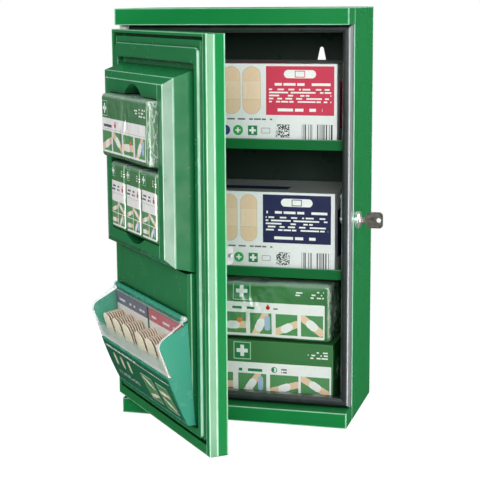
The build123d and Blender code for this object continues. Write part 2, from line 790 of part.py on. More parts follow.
def trough_section(inset, low, high):
    """The space between the dispenser's back and front, inset from both, between two heights."""
    with BuildLine() as outline:
        ThreePointArc(front_at(low, inset), front_at((low + high) / 2, inset), front_at(high, inset))
        Polyline(front_at(high, inset), back_at(high, inset), back_at(low, inset), front_at(low, inset))
    make_face(outline.line)


lid_chord = Vector(lid_bottom[0] - lid_top[0], lid_bottom[1] - lid_top[1], 0)
chord_down = lid_chord.normalized()
chord_back = Vector(chord_down.Y, -chord_down.X, 0) * (lid_edge_radius + lid_seat_gap)
seat_low_start = chord_down * (lid_edge_radius + 2 * lid_seat_gap)
seat_top = (lid_top[0] + chord_back.X + seat_low_start.X, lid_top[1] + chord_back.Y + seat_low_start.Y)
seat_bottom = (lid_bottom[0] + chord_back.X, lid_bottom[1] + chord_back.Y)


def nose_section():
    """The side walls' rounded front, which stays a seat's gap inside the lid."""
    with Locations(lid_nose):
        Circle(lid_nose_radius - lid_thickness - lid_seat_gap)
    with Locations(seat_top, seat_bottom):
        Circle(lid_seat_gap / 2)
    make_hull()


pivot = (pivot_rise, pivot_height)
rail_length = dispenser_width - 2 * (knuckle_length + knuckle_gap)
rail_start = dispenser_right - knuckle_length - knuckle_gap
with BuildPart() as dispenser_body:
    with BuildSketch(door_side(dispenser_right)):
        trough_section(0, dispenser_bottom, front_top_height)
    extrude(amount=dispenser_width)
    with BuildSketch(door_side(dispenser_right)):
        with BuildLine():
            Polyline((front_top_rise - front_rim, front_top_height), seat_bottom, seat_top,
                     back_at(plate_bend_height, 0), back_at(front_top_height, 0), close=True)
        make_face()
    extrude(amount=dispenser_width)
    with BuildSketch(door_side(dispenser_right)):
        nose_section()
    extrude(amount=dispenser_width)
    with BuildSketch(door_side(dispenser_right - dispenser_wall)):
        trough_section(dispenser_wall, dispenser_bottom + dispenser_wall, pivot_height)
    extrude(amount=dispenser_width - 2 * dispenser_wall, mode=Mode.SUBTRACT)
    with BuildSketch(door_side(dispenser_right - dispenser_wall)):
        nose_section()
    extrude(amount=dispenser_width - 2 * dispenser_wall, mode=Mode.SUBTRACT)
    with BuildSketch(door_side(rail_start)):
        with Locations(pivot):
            Circle(rail_radius)
        with Locations((back_at(plate_bend_height, dispenser_wall / 2)[0], plate_bend_height - rail_radius)):
            Circle(dispenser_wall / 2)
        make_hull()
    extrude(amount=rail_length)
    with BuildSketch(door_side(dispenser_right)):
        with Locations(pivot):
            Circle(rod_radius + rod_clearance)
    extrude(amount=dispenser_width, mode=Mode.SUBTRACT)
    with BuildSketch(lean.offset(dispenser_seat_gap)):
        with Locations(*hang_places):
            Circle(hook_screw_radius + screw_clearance)
    extrude(amount=dispenser_wall, mode=Mode.SUBTRACT)
save(dispenser_body, "dispenser_body")

screw_group(lean.offset(dispenser_seat_gap + dispenser_wall), hang_places,
            hook_screw_head, hook_screw_head_height, hook_screw_radius,
            dispenser_seat_gap + dispenser_wall + plate_wall, "dispenser_screws")

# Printed label on the dispenser's front
with BuildPart() as dispenser_label:
    label_low = dispenser_bottom + label_margin
    label_high = front_top_height - label_margin
    label_middle = (label_low + label_high) / 2
    label_face = -label_gap - label_thickness
    with BuildSketch(door_side(dispenser_right - label_margin)):
        with BuildLine():
            ThreePointArc(front_at(label_low, -label_gap), front_at(label_middle, -label_gap),
                          front_at(label_high, -label_gap))
            Line(front_at(label_high, -label_gap), front_at(label_high, label_face))
            ThreePointArc(front_at(label_high, label_face), front_at(label_middle, label_face),
                          front_at(label_low, label_face))
            Line(front_at(label_low, label_face), front_at(label_low, -label_gap))
        make_face()
    extrude(amount=dispenser_width - 2 * label_margin)
save(dispenser_label, "dispenser_front_label")

# Lid: a clear curved cover, hung from a knuckle at each end of the dispenser's rail
with BuildPart() as dispenser_lid:
    with BuildSketch(door_side(dispenser_right)):
        with Locations(lid_nose):
            Circle(lid_nose_radius)
        with Locations(lid_top, lid_bottom):
            Circle(lid_edge_radius)
        make_hull()
    extrude(amount=dispenser_width)
    with BuildSketch(door_side(dispenser_right)):
        with Locations(lid_nose):
            Circle(lid_nose_radius - lid_thickness)
        with Locations(lid_top, lid_bottom, (lid_top[0] - lid_nose_radius, lid_top[1] - lid_nose_radius),
                       (lid_bottom[0] - lid_nose_radius, lid_bottom[1] - lid_edge_radius)):
            Circle(lid_edge_radius - lid_thickness)
        make_hull()
    extrude(amount=dispenser_width, mode=Mode.SUBTRACT)
    for knuckle_at in (dispenser_left + knuckle_length, dispenser_right):
        with BuildSketch(door_side(knuckle_at)):
            with Locations(pivot):
                Circle(rail_radius)
        extrude(amount=knuckle_length)
        with BuildSketch(door_side(knuckle_at)):
            with Locations(pivot, (lid_top[0] + lid_edge_radius / 2, lid_top[1] + lid_edge_radius / 2)):
                Circle(lid_thickness / 2)
            make_hull()
        extrude(amount=knuckle_length)
    with BuildSketch(door_side(dispenser_right)):
        with Locations(pivot):
            Circle(rod_radius + rod_clearance)
    extrude(amount=dispenser_width, mode=Mode.SUBTRACT)
save(dispenser_lid, "dispenser_lid")

with BuildPart() as lid_hinge_rod:
    with BuildSketch(door_side(dispenser_right - 1)):
        with Locations(pivot):
            Circle(rod_radius)
    extrude(amount=dispenser_width - 2)
save(lid_hinge_rod, "lid_hinge_rod")

# Two plaster refills, each a tray, a card that stands at its back and columns of wrapped strips
tray_inset = dispenser_wall + tray_gap
tray_inner = tray_inset + tray_wall
card_offset = dispenser_seat_gap + tray_inner + card_gap
refill_width = (dispenser_width - 2 * dispenser_wall - 2 * refill_side_gap - refill_gap) / 2
tray_floor = tray_low + tray_wall
strip_low = tray_floor + strip_seat_gap
first_strip_rise = back_at(strip_low, tray_inner)[0] + 2 * card_gap + card_thickness


def lean_height(height, offset):
    """Distance up the leaning plane of a point that stands off it and is at a height."""
    return (height - plate_bend_height + offset * sin(lean_angle)) / cos(lean_angle)


for refill_name, refill_right in (("left", insert_centre - refill_gap / 2),
                                  ("right", insert_centre + refill_gap / 2 + refill_width)):
    refill_left = refill_right - refill_width
    with BuildPart() as refill_tray:
        with BuildSketch(door_side(refill_right)):
            trough_section(tray_inset, tray_low, tray_top)
        extrude(amount=refill_width)
        with BuildSketch(door_side(refill_right - tray_wall)):
            trough_section(tray_inner, tray_floor, tray_top)
        extrude(amount=refill_width - 2 * tray_wall, mode=Mode.SUBTRACT)
    save(refill_tray, f"{refill_name}_refill_tray")

    with BuildPart() as refill_card:
        block(lean, card_offset,
              (refill_left + card_margin, refill_right - card_margin,
               lean_height(tray_floor + content_seat_gap, card_offset + card_thickness),
               lean_height(card_top, card_offset)), card_thickness)
    save(refill_card, f"{refill_name}_refill_card")

    with BuildPart() as refill_strips:
        for layer in range(strips_per_column):
            fan = lean_angle + (radians(strip_fan) - lean_angle) * layer / (strips_per_column - 1)
            strip_plane = Plane(origin=door_corner + out * (first_strip_rise + layer * strip_pitch)
                                + Vector(0, 0, strip_low),
                                x_dir=along, z_dir=out * cos(fan) - Vector(0, 0, sin(fan)))
            for column in range(columns_per_refill):
                column_at = (refill_left + refill_right) / 2 + (column - 1) * strip_column_spacing
                block(strip_plane, 0,
                      (column_at - strip_width / 2, column_at + strip_width / 2, 0, strip_length),
                      strip_thickness, strip_corner)
    save(refill_strips, f"{refill_name}_plaster_strips")

# Side lock: a barrel through the side panel with its nut, plug, hooked cam and cam screw
lock_face = Plane(origin=(0, lock_axis_y, lock_axis_z), x_dir=(0, 1, 0), z_dir=(1, 0, 0))
flange_x = half_width + lock_flange_thickness
plug_face_x = flange_x + plug_proud
barrel_end_x = half_width - lock_barrel_length
with BuildPart() as lock_housing:
    with BuildSketch(lock_face.offset(half_width)):
        Circle(lock_flange_radius)
    extrude(amount=lock_flange_thickness)
    chamfer(lock_housing.edges().group_by(Axis.X)[-1], lock_flange_chamfer)
    with BuildSketch(lock_face.offset(barrel_end_x)):
        Circle(lock_barrel_radius)
    extrude(amount=lock_barrel_length)
    with BuildSketch(lock_face.offset(barrel_end_x)):
        Circle(plug_radius + plug_clearance)
    extrude(amount=lock_barrel_length + lock_flange_thickness, mode=Mode.SUBTRACT)
save(lock_housing, "lock_housing")

with BuildPart() as lock_nut:
    with BuildSketch(lock_face.offset(inner_half - nut_thickness)):
        RegularPolygon(nut_across_flats / 2, 6, major_radius=False)
        Circle(lock_barrel_radius, mode=Mode.SUBTRACT)
    extrude(amount=nut_thickness)
save(lock_nut, "lock_nut")

with BuildPart() as lock_plug:
    with BuildSketch(lock_face.offset(cam_outer_x)):
        Circle(plug_radius)
    extrude(amount=plug_face_x - cam_outer_x)
    with BuildSketch(lock_face.offset(cam_inner_x)):
        Rectangle(plug_tail, plug_tail)
    extrude(amount=cam_thickness)
    with BuildSketch(lock_face.offset(plug_face_x)):
        Rectangle(keyway_width, keyway_height)
    extrude(amount=-keyway_depth, mode=Mode.SUBTRACT)
    with BuildSketch(lock_face.offset(cam_inner_x)):
        Circle(cam_screw_radius)
    extrude(amount=cam_screw_bite, mode=Mode.SUBTRACT)
save(lock_plug, "lock_plug")

with BuildPart() as lock_cam:
    with BuildSketch(lock_face.offset(cam_inner_x)):
        Circle(plug_radius)
        rectangle(-cam_width / 2, cam_width / 2, 0, cam_reach)
        rectangle(-cam_hook_drop, 0, cam_reach - cam_hook_width, cam_reach)
        fillet(vertices().group_by(Axis.Y)[-1], cam_hook_width / 4)
        Rectangle(plug_tail + 2 * plug_tail_clearance, plug_tail + 2 * plug_tail_clearance, mode=Mode.SUBTRACT)
    extrude(amount=cam_thickness)
save(lock_cam, "lock_cam")

screw_group(Plane(origin=(cam_inner_x, lock_axis_y, lock_axis_z), x_dir=(0, 1, 0), z_dir=(-1, 0, 0)), [(0, 0)],
            cam_screw_head_radius, cam_screw_head_height, cam_screw_radius, cam_screw_bite, "cam_screw")

# Key: a cut blade in the plug, a shank and a flat bow with a hole
key_plane = Plane(origin=(0, lock_axis_y + key_thickness / 2, lock_axis_z), x_dir=(1, 0, 0), z_dir=(0, -1, 0))
blade_tip_x = plug_face_x - keyway_depth + key_tip_gap
bow_start_x = plug_face_x + key_shank_length
bow_end_x = bow_start_x + key_bow_length
with BuildPart() as key:
    with BuildSketch(key_plane):
        rectangle(blade_tip_x, bow_start_x + key_bow_corner, -key_blade_height / 2, key_blade_height / 2)
        chamfer(vertices().group_by(Axis.X)[0], key_blade_height / 3)
        for bitting in range(4):
            with Locations((blade_tip_x + (bitting + 1.2) * keyway_depth / 5.5, -key_blade_height / 2)):
                Circle(1.0 + 0.3 * (bitting % 2), mode=Mode.SUBTRACT)
    extrude(amount=key_thickness)
    with BuildSketch(key_plane):
        rectangle(bow_start_x, bow_end_x, -key_bow_height / 2, key_bow_height / 2)
        fillet(vertices(), key_bow_corner)
    extrude(amount=key_thickness)
    with BuildSketch(key_plane):
        with Locations((bow_end_x - key_hole_inset, 0)):
            Circle(key_hole_radius)
    extrude(amount=key_thickness, mode=Mode.SUBTRACT)
save(key, "key")

# Contents: cartons on the shelves, and a film-wrapped pack that lies on the lowest carton
content_front = shelf_front + sheet + content_front_gap
refill_box_depth = back_y - sheet - refill_box_rear_gap - content_front


def carton(right, seat, height, width, depth, name):
    with BuildPart() as box:
        with BuildSketch(Plane.XY.offset(seat + content_seat_gap)):
            rectangle(right - width, right, content_front, content_front + depth)
        extrude(amount=height)
        fillet(box.edges(), carton_edge)
    save(box, name)


carton(upper_box_right, shelf_heights["upper"] + sheet, upper_box_height,
       refill_box_width, refill_box_depth, "upper_refill_box")
carton(middle_box_right, shelf_heights["lower"] + sheet, middle_box_height,
       refill_box_width, refill_box_depth, "middle_refill_box")
carton(kit_box_right, floor_z, kit_box_height, kit_box_width, kit_box_depth, "protection_kit_box")

with BuildPart() as film_pack:
    pack_low = floor_z + kit_box_height + 2 * content_seat_gap
    pack_top = shelf_heights["lower"] - film_pack_top_gap
    with BuildSketch(Plane.XY.offset(pack_low)):
        rectangle(film_pack_right - film_pack_width, film_pack_right,
                  content_front, content_front + film_pack_depth)
    extrude(amount=pack_top - pack_low)
    fillet(film_pack.edges(), film_pack_round)
    with BuildSketch(Plane.YZ.offset(film_pack_right - film_pack_round)):
        with Locations((content_front + film_pack_depth / 2, (pack_low + pack_top) / 2)):
            Rectangle(film_pack_depth - 2 * film_pack_round, film_seam_thickness)
    extrude(amount=film_pack_round + film_seam_reach)
save(film_pack, "film_wrapped_dressing")
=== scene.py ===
# %% [markdown]
# # A first aid cabinet with its door open
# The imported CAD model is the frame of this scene. Its nodes already have their true shapes and places, so
# the steel, the plastic mouldings and the lock stay as they are and get finishes here. Only the soft packs
# are modelled again, because a plain CAD block can't show how film wraps a dressing.

# %% Load the frame
import math

import bpy
from mathutils import Matrix, Vector


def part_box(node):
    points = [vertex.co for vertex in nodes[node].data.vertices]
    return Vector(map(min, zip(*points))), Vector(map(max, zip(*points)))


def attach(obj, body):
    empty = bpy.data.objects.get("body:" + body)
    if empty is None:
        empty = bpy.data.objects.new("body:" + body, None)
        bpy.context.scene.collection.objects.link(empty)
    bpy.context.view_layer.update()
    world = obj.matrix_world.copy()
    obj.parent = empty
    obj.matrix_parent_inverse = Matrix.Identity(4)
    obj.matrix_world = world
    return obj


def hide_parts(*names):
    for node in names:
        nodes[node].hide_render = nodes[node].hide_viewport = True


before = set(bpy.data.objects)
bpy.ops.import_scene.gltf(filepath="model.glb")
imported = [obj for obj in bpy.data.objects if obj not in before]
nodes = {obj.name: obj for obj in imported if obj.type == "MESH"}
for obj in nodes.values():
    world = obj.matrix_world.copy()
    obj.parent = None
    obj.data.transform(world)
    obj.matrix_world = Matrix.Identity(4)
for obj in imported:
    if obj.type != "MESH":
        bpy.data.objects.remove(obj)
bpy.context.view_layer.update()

bpy.ops.object.select_all(action="DESELECT")

# %% [markdown]
# ## The camera
# The photograph was taken from the right of the cabinet and a little above it, with a long lens. The place
# and the turn of this camera were worked out from the corners of the case, so that the edges of the render
# fall where the edges of the photograph are. Writing the three axes as columns of a matrix is the plainest
# way to give Blender a turn that was measured and not posed by eye.

# %% Camera
lens, sensor = 102.243, 36.0
camera_place = Vector((0.489525, -1.829571, 0.569040))
yaw, pitch, roll = -0.26752, 0.17374, -0.00649

forward = Vector((math.sin(yaw) * math.cos(pitch), math.cos(yaw) * math.cos(pitch), -math.sin(pitch)))
level_right = Vector((math.cos(yaw), -math.sin(yaw), 0))
level_up = level_right.cross(forward)
camera_right = level_right * math.cos(roll) + level_up * math.sin(roll)
camera_up = level_up * math.cos(roll) - level_right * math.sin(roll)

bpy.ops.object.camera_add()
camera = bpy.context.object
camera.name = "camera"
camera.data.lens, camera.data.sensor_width = lens, sensor
camera.matrix_world = Matrix.Translation(camera_place) @ Matrix(
    (camera_right, camera_up, -forward)).transposed().to_4x4()
camera.select_set(False)
bpy.context.scene.camera = camera
print("camera looks along", [round(value, 3) for value in forward])

# %% [markdown]
# ## Words for shader sums
# A material is a graph of nodes, which is slow to read when each sum is three lines of code. The small
# class below wraps a socket, so that a sum on values is written as a sum and adds its own Math node. Places
# are vectors, so they go through Vector Math instead, and colours go through Mix.

# %% Sockets that can be used in sums
upright, sideways, inwards = (0.0, 0.0, 1.0), (1.0, 0.0, 0.0), (0.0, 1.0, 0.0)


class Wire:
    """A socket of a material. A sum on wires adds the node that works it out."""

    def __init__(self, board, socket, vector=False):
        self.board, self.socket, self.vector = board, socket, vector

    def work(self, operation, *others):
        values = (self, *others)
        as_vector = any(isinstance(value, Wire) and value.vector for value in values)
        kind = "ShaderNodeVectorMath" if as_vector else "ShaderNodeMath"
        node = self.board.node(kind, {"operation": operation}, dict(enumerate(values)))
        gives_value = not as_vector or operation in ("LENGTH", "DOT_PRODUCT")
        return Wire(self.board, node.outputs["Value" if gives_value else "Vector"], not gives_value)

    def flipped(self, operation, other):
        kind = "ShaderNodeVectorMath" if self.vector else "ShaderNodeMath"
        node = self.board.node(kind, {"operation": operation}, {0: other, 1: self})
        return Wire(self.board, node.outputs["Vector" if self.vector else "Value"], self.vector)

    def __add__(self, other):
        return self.work("ADD", other)

    def __sub__(self, other):
        return self.work("SUBTRACT", other)

    def __mul__(self, other):
        return self.work("MULTIPLY", other)

    def __truediv__(self, other):
        return self.work("DIVIDE", other)

    def __lt__(self, other):
        return self.work("LESS_THAN", other)

    def __gt__(self, other):
        return self.work("GREATER_THAN", other)

    def __radd__(self, other):
        return self.flipped("ADD", other)

    def __rsub__(self, other):
        return self.flipped("SUBTRACT", other)

    def __rmul__(self, other):
        return self.flipped("MULTIPLY", other)

    def top(self, other):
        return self.work("MAXIMUM", other)

    def least(self, other):
        return self.work("MINIMUM", other)

    def size(self):
        return self.work("ABSOLUTE")

    def length(self):
        return self.work("LENGTH")

    def dot(self, other):
        return self.work("DOT_PRODUCT", other)

    def part(self):
        return self.work("FRACT")

    def whole(self):
        return self.work("FLOOR")

    def part_along(self, axis):
        """One part of a place: X, Y or Z."""
        node = self.board.node("ShaderNodeSeparateXYZ", {}, {0: self})
        return Wire(self.board, node.outputs[axis])

    def ramp(self, low, high, start=0.0, end=1.0):
        """Turns the span low to high into start to end, and holds the ends."""
        node = self.board.node("ShaderNodeMapRange", {}, {
            "Value": self, "From Min": low, "From Max": high, "To Min": start, "To Max": end})
        return Wire(self.board, node.outputs["Result"])


class Board:
    """The node tree of one material, with its Principled shader."""

    def __init__(self, name, **constants):
        self.material = bpy.data.materials.new(name)
        self.material.use_nodes = True
        self.tree = self.material.node_tree
        self.shader = self.tree.nodes["Principled BSDF"]
        for socket, value in constants.items():
            self.shader.inputs[socket.replace("_", " ")].default_value = value
        own = self.node("ShaderNodeTexCoord")
        self.place = Wire(self, own.outputs["Object"], True)
        self.own_facing = Wire(self, own.outputs["Normal"], True)
        self.facing = Wire(self, self.node("ShaderNodeNewGeometry").outputs["Normal"], True)

    def node(self, kind, settings=None, inputs=None):
        node = self.tree.nodes.new(kind)
        for name, value in (settings or {}).items():
            setattr(node, name, value)
        for key, value in (inputs or {}).items():
            socket = node.inputs[key]
            if isinstance(value, Wire):
                self.tree.links.new(value.socket, socket)
            elif socket.type == "VECTOR" and isinstance(value, (int, float)):
                socket.default_value = (value, value, value)
            elif socket.type == "RGBA" and len(value) == 3:
                socket.default_value = (*value, 1.0)
            else:
                socket.default_value = value
        return node

    def mix(self, mask, under, over):
        node = self.node("ShaderNodeMix", {"data_type": "RGBA"}, {0: mask, 6: under, 7: over})
        return Wire(self, node.outputs[2])

    def plain(self, tone):
        """One colour all over, as a wire that others can be laid on."""
        return self.mix(0.0, tone, tone)

    def shade(self, colour, amount):
        """A colour made lighter or darker by an amount that changes over the surface."""
        node = self.node("ShaderNodeMix", {"data_type": "RGBA", "blend_type": "MULTIPLY"},
                         {0: 1.0, 6: colour, 7: self.grey(amount)})
        return Wire(self, node.outputs[2])

    def grey(self, amount):
        node = self.node("ShaderNodeCombineColor", {}, {"Red": amount, "Green": amount, "Blue": amount})
        return Wire(self, node.outputs["Color"])

    def noise(self, scale, detail=2.0, rough=0.5, place=None):
        node = self.node("ShaderNodeTexNoise", {}, {
            "Vector": place or self.place, "Scale": scale, "Detail": detail, "Roughness": rough})
        return Wire(self, node.outputs[0])

    def chance(self, cell, dimensions):
        """A value from 0 to 1 for each cell, in no order."""
        socket = "W" if dimensions == "1D" else "Vector"
        node = self.node("ShaderNodeTexWhiteNoise", {"noise_dimensions": dimensions}, {socket: cell})
        return Wire(self, node.outputs["Value"])

    def flat(self, across, up):
        """A place on a flat print, from two wires."""
        node = self.node("ShaderNodeCombineXYZ", {}, {"X": across, "Y": up, "Z": 0.0})
        return Wire(self, node.outputs["Vector"], True)

    def along(self, direction, start=0.0):
        """Distance in millimetres from a start, along a direction."""
        return self.place.dot(tuple(1000.0 * value for value in direction)) - start

    def axes(self):
        """Distances in millimetres to the right, into the wall and up."""
        return tuple(self.along(axis) for axis in (sideways, inwards, upright))

    def soft_edge(self, radius):
        """A normal that turns smoothly over each sharp edge."""
        node = self.node("ShaderNodeBevel", {"samples": 4}, {"Radius": radius})
        return Wire(self, node.outputs["Normal"], True)

    def near_line(self, point, direction, reach):
        """1 on a straight line through a point, and 0 from the reach on. All in metres."""
        distance = (self.place - tuple(point)).work("CROSS_PRODUCT", tuple(direction)).length()
        return distance.ramp(reach * 0.35, reach, 1.0, 0.0)

    def open_air(self, reach):
        """How open the surface is: 1 on a free face, less where another face stands close."""
        node = self.node("ShaderNodeAmbientOcclusion", {"samples": 4}, {"Distance": reach})
        return Wire(self, node.outputs["AO"])

    def bumps(self, height, depth, normal=None):
        inputs = {"Height": height, "Distance": depth, "Strength": 1.0}
        if normal:
            inputs["Normal"] = normal
        return Wire(self, self.node("ShaderNodeBump", {}, inputs).outputs["Normal"], True)

    def feed(self, **wires):
        for socket, wire in wires.items():
            self.tree.links.new(wire.socket, self.shader.inputs[socket.replace("_", " ")])
        return self.material


def dress(material, *names):
    """Gives a finish to CAD nodes or modelled pieces."""
    for name in names:
        piece = nodes[name] if name in nodes else bpy.data.objects[name]
        piece.data.materials.clear()
        piece.data.materials.append(material)
    print(material.name, "on", ", ".join(names))


# %% [markdown]
# ## Green powder paint
# The case and the door are steel with a baked powder coat. Powder never dries quite flat: it leaves a fine
# ripple, called orange peel, and it draws thin at folds. So the colour drifts a little and the ripple is a
# shallow bump. The folds are listed as straight lines, and a mask made from the distance to the nearest
# line mixes in a paler green there: a painted highlight, where the edges catch the light. Where faces
# stand close together the colour is darkened as painted shade, and inside the case a dark colour is
# painted in as shade.

# %% Powder paint
leaf_green = (0.006, 0.222, 0.052)
# The shelves' darker green is the case's green darkened as painted shade.
shaded_shelf_green = (0.008, 0.150, 0.038)
# The pale green of the painted edge highlights.
painted_edge_highlight = (0.42, 0.78, 0.56)
# The dark colour that is painted in as shade inside the case.
painted_inside_shade = (0.022, 0.034, 0.028)


def edge_highlights_and_shade(board, colour, lines, strength):
    """Painted highlight: a paler colour on the edges that are listed. Painted shade: darker where faces meet.
    """
    # Painted shade: an ambient occlusion node darkens the colour where another face stands close.
    colour = board.shade(colour, board.open_air(0.012).ramp(0.25, 0.85, 0.30, 1.0))
    # Painted highlight: near the listed edge lines the colour turns paler, broken up in patches.
    highlight_lines = board.near_line(*lines[0])
    for line in lines[1:]:
        highlight_lines = highlight_lines.top(board.near_line(*line))
    highlight_patches = board.noise(30.0, 3.0).ramp(0.3, 0.65, 0.65, 1.0)
    return board.mix(highlight_lines * highlight_patches * strength, colour, painted_edge_highlight)


def powder_paint(name, tone, roughness, lines, strength, gloss, inside=None):
    board = Board(name, IOR=1.45, Specular_IOR_Level=gloss)
    drift = board.noise(5.0, 3.0).ramp(0.3, 0.7, 0.95, 1.04)
    colour = edge_highlights_and_shade(board, board.shade(board.plain(tone), drift), lines, strength)
    # Inside the given box a dark colour stands in for the shade there: painted shade.
    if inside:
        half, front, back, low, high = inside
        x, y, z = board.axes()
        within = (x.size() < half) * (y > front) * (y < back) * (z > low) * (z < high)
        colour = board.mix(within, colour, board.shade(board.plain(painted_inside_shade), drift))
    rub = board.noise(22.0, 3.0).ramp(0.35, 0.75, roughness - 0.03, roughness + 0.05)
    peel = board.bumps(board.noise(260.0, 1.0, 0.3), 0.000012)
    return board.feed(Base_Color=colour, Roughness=rub, Normal=peel)


case_low, case_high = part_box("top_cap")
front_y, side_x, top_z = case_low[1], case_high[0], case_high[2]
lip_z, tray_z = case_low[2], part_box("bottom_tray")[1][2]
panel_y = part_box("right_side_panel")[0][1]
upright_reach, fold_reach, shelf_reach = 0.0021, 0.0016, 0.0013
case_lines = [((side * side_x, y, 0), upright, upright_reach)
              for side in (-1, 1) for y in (front_y, panel_y, case_high[1])]
case_lines += [((0, front_y, z), sideways, fold_reach) for z in (top_z, lip_z, tray_z, 0.0)]
case_lines += [((side * side_x, 0, top_z), inwards, fold_reach) for side in (-1, 1)]
shelf_lines = [((0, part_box(name)[0][1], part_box(name)[1][2]), sideways, shelf_reach)
               for name in ("upper_shelf", "lower_shelf")]

door_corner = Vector((-0.1684957, -0.0779239, 0.0))
door_along = Vector((0.646790, -0.762668, 0.0))
door_out = Vector((-0.762668, -0.646790, 0.0))


def door_spot(along, rise, height):
    """A place on the door: across from its hinge edge, out from its face, and up."""
    return door_corner + door_along * along + door_out * rise + Vector((0, 0, height))


def door_lines(uprights, levels):
    """Edges of the door's pieces, in millimetres: across, rise and reach, or up, rise and reach."""
    lines = [(door_spot(across / 1000, rise / 1000, 0), upright, reach / 1000)
             for across, rise, reach in uprights]
    lines += [(door_spot(0, rise / 1000, up / 1000), door_along, reach / 1000)
              for up, rise, reach in levels]
    return lines


# The space inside the case where the dark painted shade replaces the green.
inner_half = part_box("upper_shelf")[1][0] * 1000 + 1.0
shaded_space = (inner_half, -49.3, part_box("back_panel")[1][1] * 1000 - 0.6, 24.0, 545.0)
case_paint = powder_paint("green_powder_paint", leaf_green, 0.30, case_lines, 0.9, 0.22, shaded_space)
# The shelves and the floor inside get the darker green of painted shade.
shaded_shelf_paint = powder_paint("shelf_powder_paint", shaded_shelf_green, 0.30, shelf_lines, 0.35, 0.25)
# The ceiling is dark all over: painted shade.
inside_shade_paint = powder_paint("inner_powder_paint", painted_inside_shade, 0.34, shelf_lines, 0.0, 0.25)
door_paint = powder_paint("door_powder_paint", leaf_green, 0.22, door_lines(
    ((0.0, 0.0, 1.5), (316.5, 0.0, 1.6), (319.0, -9.4, 1.6), (319.0, -23.0, 1.8), (307.0, 0.0, 1.0)),
    ((25.5, 0.0, 1.0), (532.5, 0.0, 1.2))), 0.9, 0.45)
dress(case_paint, "left_side_panel", "right_side_panel", "back_panel", "top_cap", "bottom_tray")
dress(shaded_shelf_paint, "upper_shelf", "lower_shelf", "floor_panel")
dress(inside_shade_paint, "ceiling_panel")
dress(door_paint, "door_shell", "door_rear_panel")

# %% [markdown]
# ## Green mouldings
# The insert on the door, the pocket housing and the plaster dispenser are injection mouldings. Moulded
# plastic is smoother than powder paint, with a faint grain from the tool and a slightly colder green. The
# dispenser is more blue than the insert, so the same recipe is used with two tones.

# %% Moulded plastic
moulding_green = (0.012, 0.195, 0.060)
dispenser_green = (0.045, 0.360, 0.235)
mould_grain = 0.000008


def moulded_plastic(name, tone, roughness, lines):
    board = Board(name, IOR=1.5, Specular_IOR_Level=0.36)
    drift = board.noise(7.0, 2.0).ramp(0.3, 0.7, 0.95, 1.05)
    # The listed edges get the painted highlight and close corners the painted shade, as on the paint.
    colour = edge_highlights_and_shade(board, board.shade(board.plain(tone), drift), lines, 0.9)
    rub = board.noise(35.0, 3.0, 0.6).ramp(0.3, 0.75, roughness - 0.04, roughness + 0.08)
    skin = board.bumps(board.noise(300.0, 1.0), mould_grain)
    return board.feed(Base_Color=colour, Roughness=rub, Normal=skin)


insert_plastic = moulded_plastic("insert_moulding", moulding_green, 0.22, door_lines(
    ((299.0, 2.5, 2.6), (303.5, -2.5, 1.3), (17.0, 0.0, 1.3), (19.0, 2.5, 1.5)),
    ((515.0, 2.5, 1.0), (498.0, 2.5, 0.7), (44.5, 2.5, 0.8))))
housing_plastic = moulded_plastic("housing_moulding", moulding_green, 0.22, door_lines(
    ((257.4, 31.3, 1.6), (277.8, 25.3, 1.8), (60.6, 31.3, 1.4), (40.3, 25.3, 1.3), (242.0, 31.5, 0.8)),
    ((471.6, 31.3, 0.8), (480.6, 25.4, 1.0), (253.4, 25.4, 0.8))))
plate_plastic = moulded_plastic("plate_moulding", moulding_green, 0.22,
                                door_lines(((279.0, 6.0, 1.0),), ()))
side_lines = door_lines(((280.5, 3.0, 0.8), (37.5, 3.0, 0.8)), ((57.0, 2.0, 1.0),))
dispenser_plastic = moulded_plastic("dispenser_moulding", dispenser_green, 0.24, side_lines)
dress(insert_plastic, "door_insert")
dress(housing_plastic, "pocket_housing")
dress(plate_plastic, "dispenser_plate")
dress(dispenser_plastic, "dispenser_body")

# %% [markdown]
# ## Rubber seal
# A slate-grey rubber bulb runs round the opening. Rubber is dull and dark, but its round outer edge picks up
# a broad soft highlight, so its roughness is in the middle and a faint mottling keeps it from looking wet.
# On the lock's side a painted highlight, a paler grey, is mixed into its outer flank by the distance
# from the cabinet's middle.

# %% Seal rubber
# The paler grey of the painted highlight on the outer flank.
flank_highlight_grey = (0.18, 0.20, 0.21)
board = Board("seal_rubber", IOR=1.5, Specular_IOR_Level=0.5, Coat_Weight=0.8, Coat_Roughness=0.22,
              Coat_IOR=1.7)
mottle = board.noise(60.0, 3.0)
dark_bulb = board.mix(mottle.ramp(0.3, 0.7), (0.010, 0.012, 0.016), (0.020, 0.023, 0.030))
seal_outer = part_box("door_seal")[1][0] * 1000
# Painted highlight: the outer flank on the lock's side turns a paler grey.
painted_flank_highlight = board.along(sideways).ramp(seal_outer - 6.0, seal_outer - 1.0)
board.feed(Base_Color=board.mix(painted_flank_highlight, dark_bulb, flank_highlight_grey),
           Roughness=mottle.ramp(0.3, 0.7, 0.38, 0.50),
           Normal=board.bumps(board.noise(700.0, 2.0), 0.00005))
dress(board.material, "door_seal")

# %% [markdown]
# ## Metals and nylon
# Four metals are used: zinc on pins and screws, a duller zinc on the strike, chrome on the lock and nickel on
# the key. What tells them apart is how evenly they reflect, so each has its own roughness, fine scratches
# in one direction, and a tarnish that darkens it in patches.

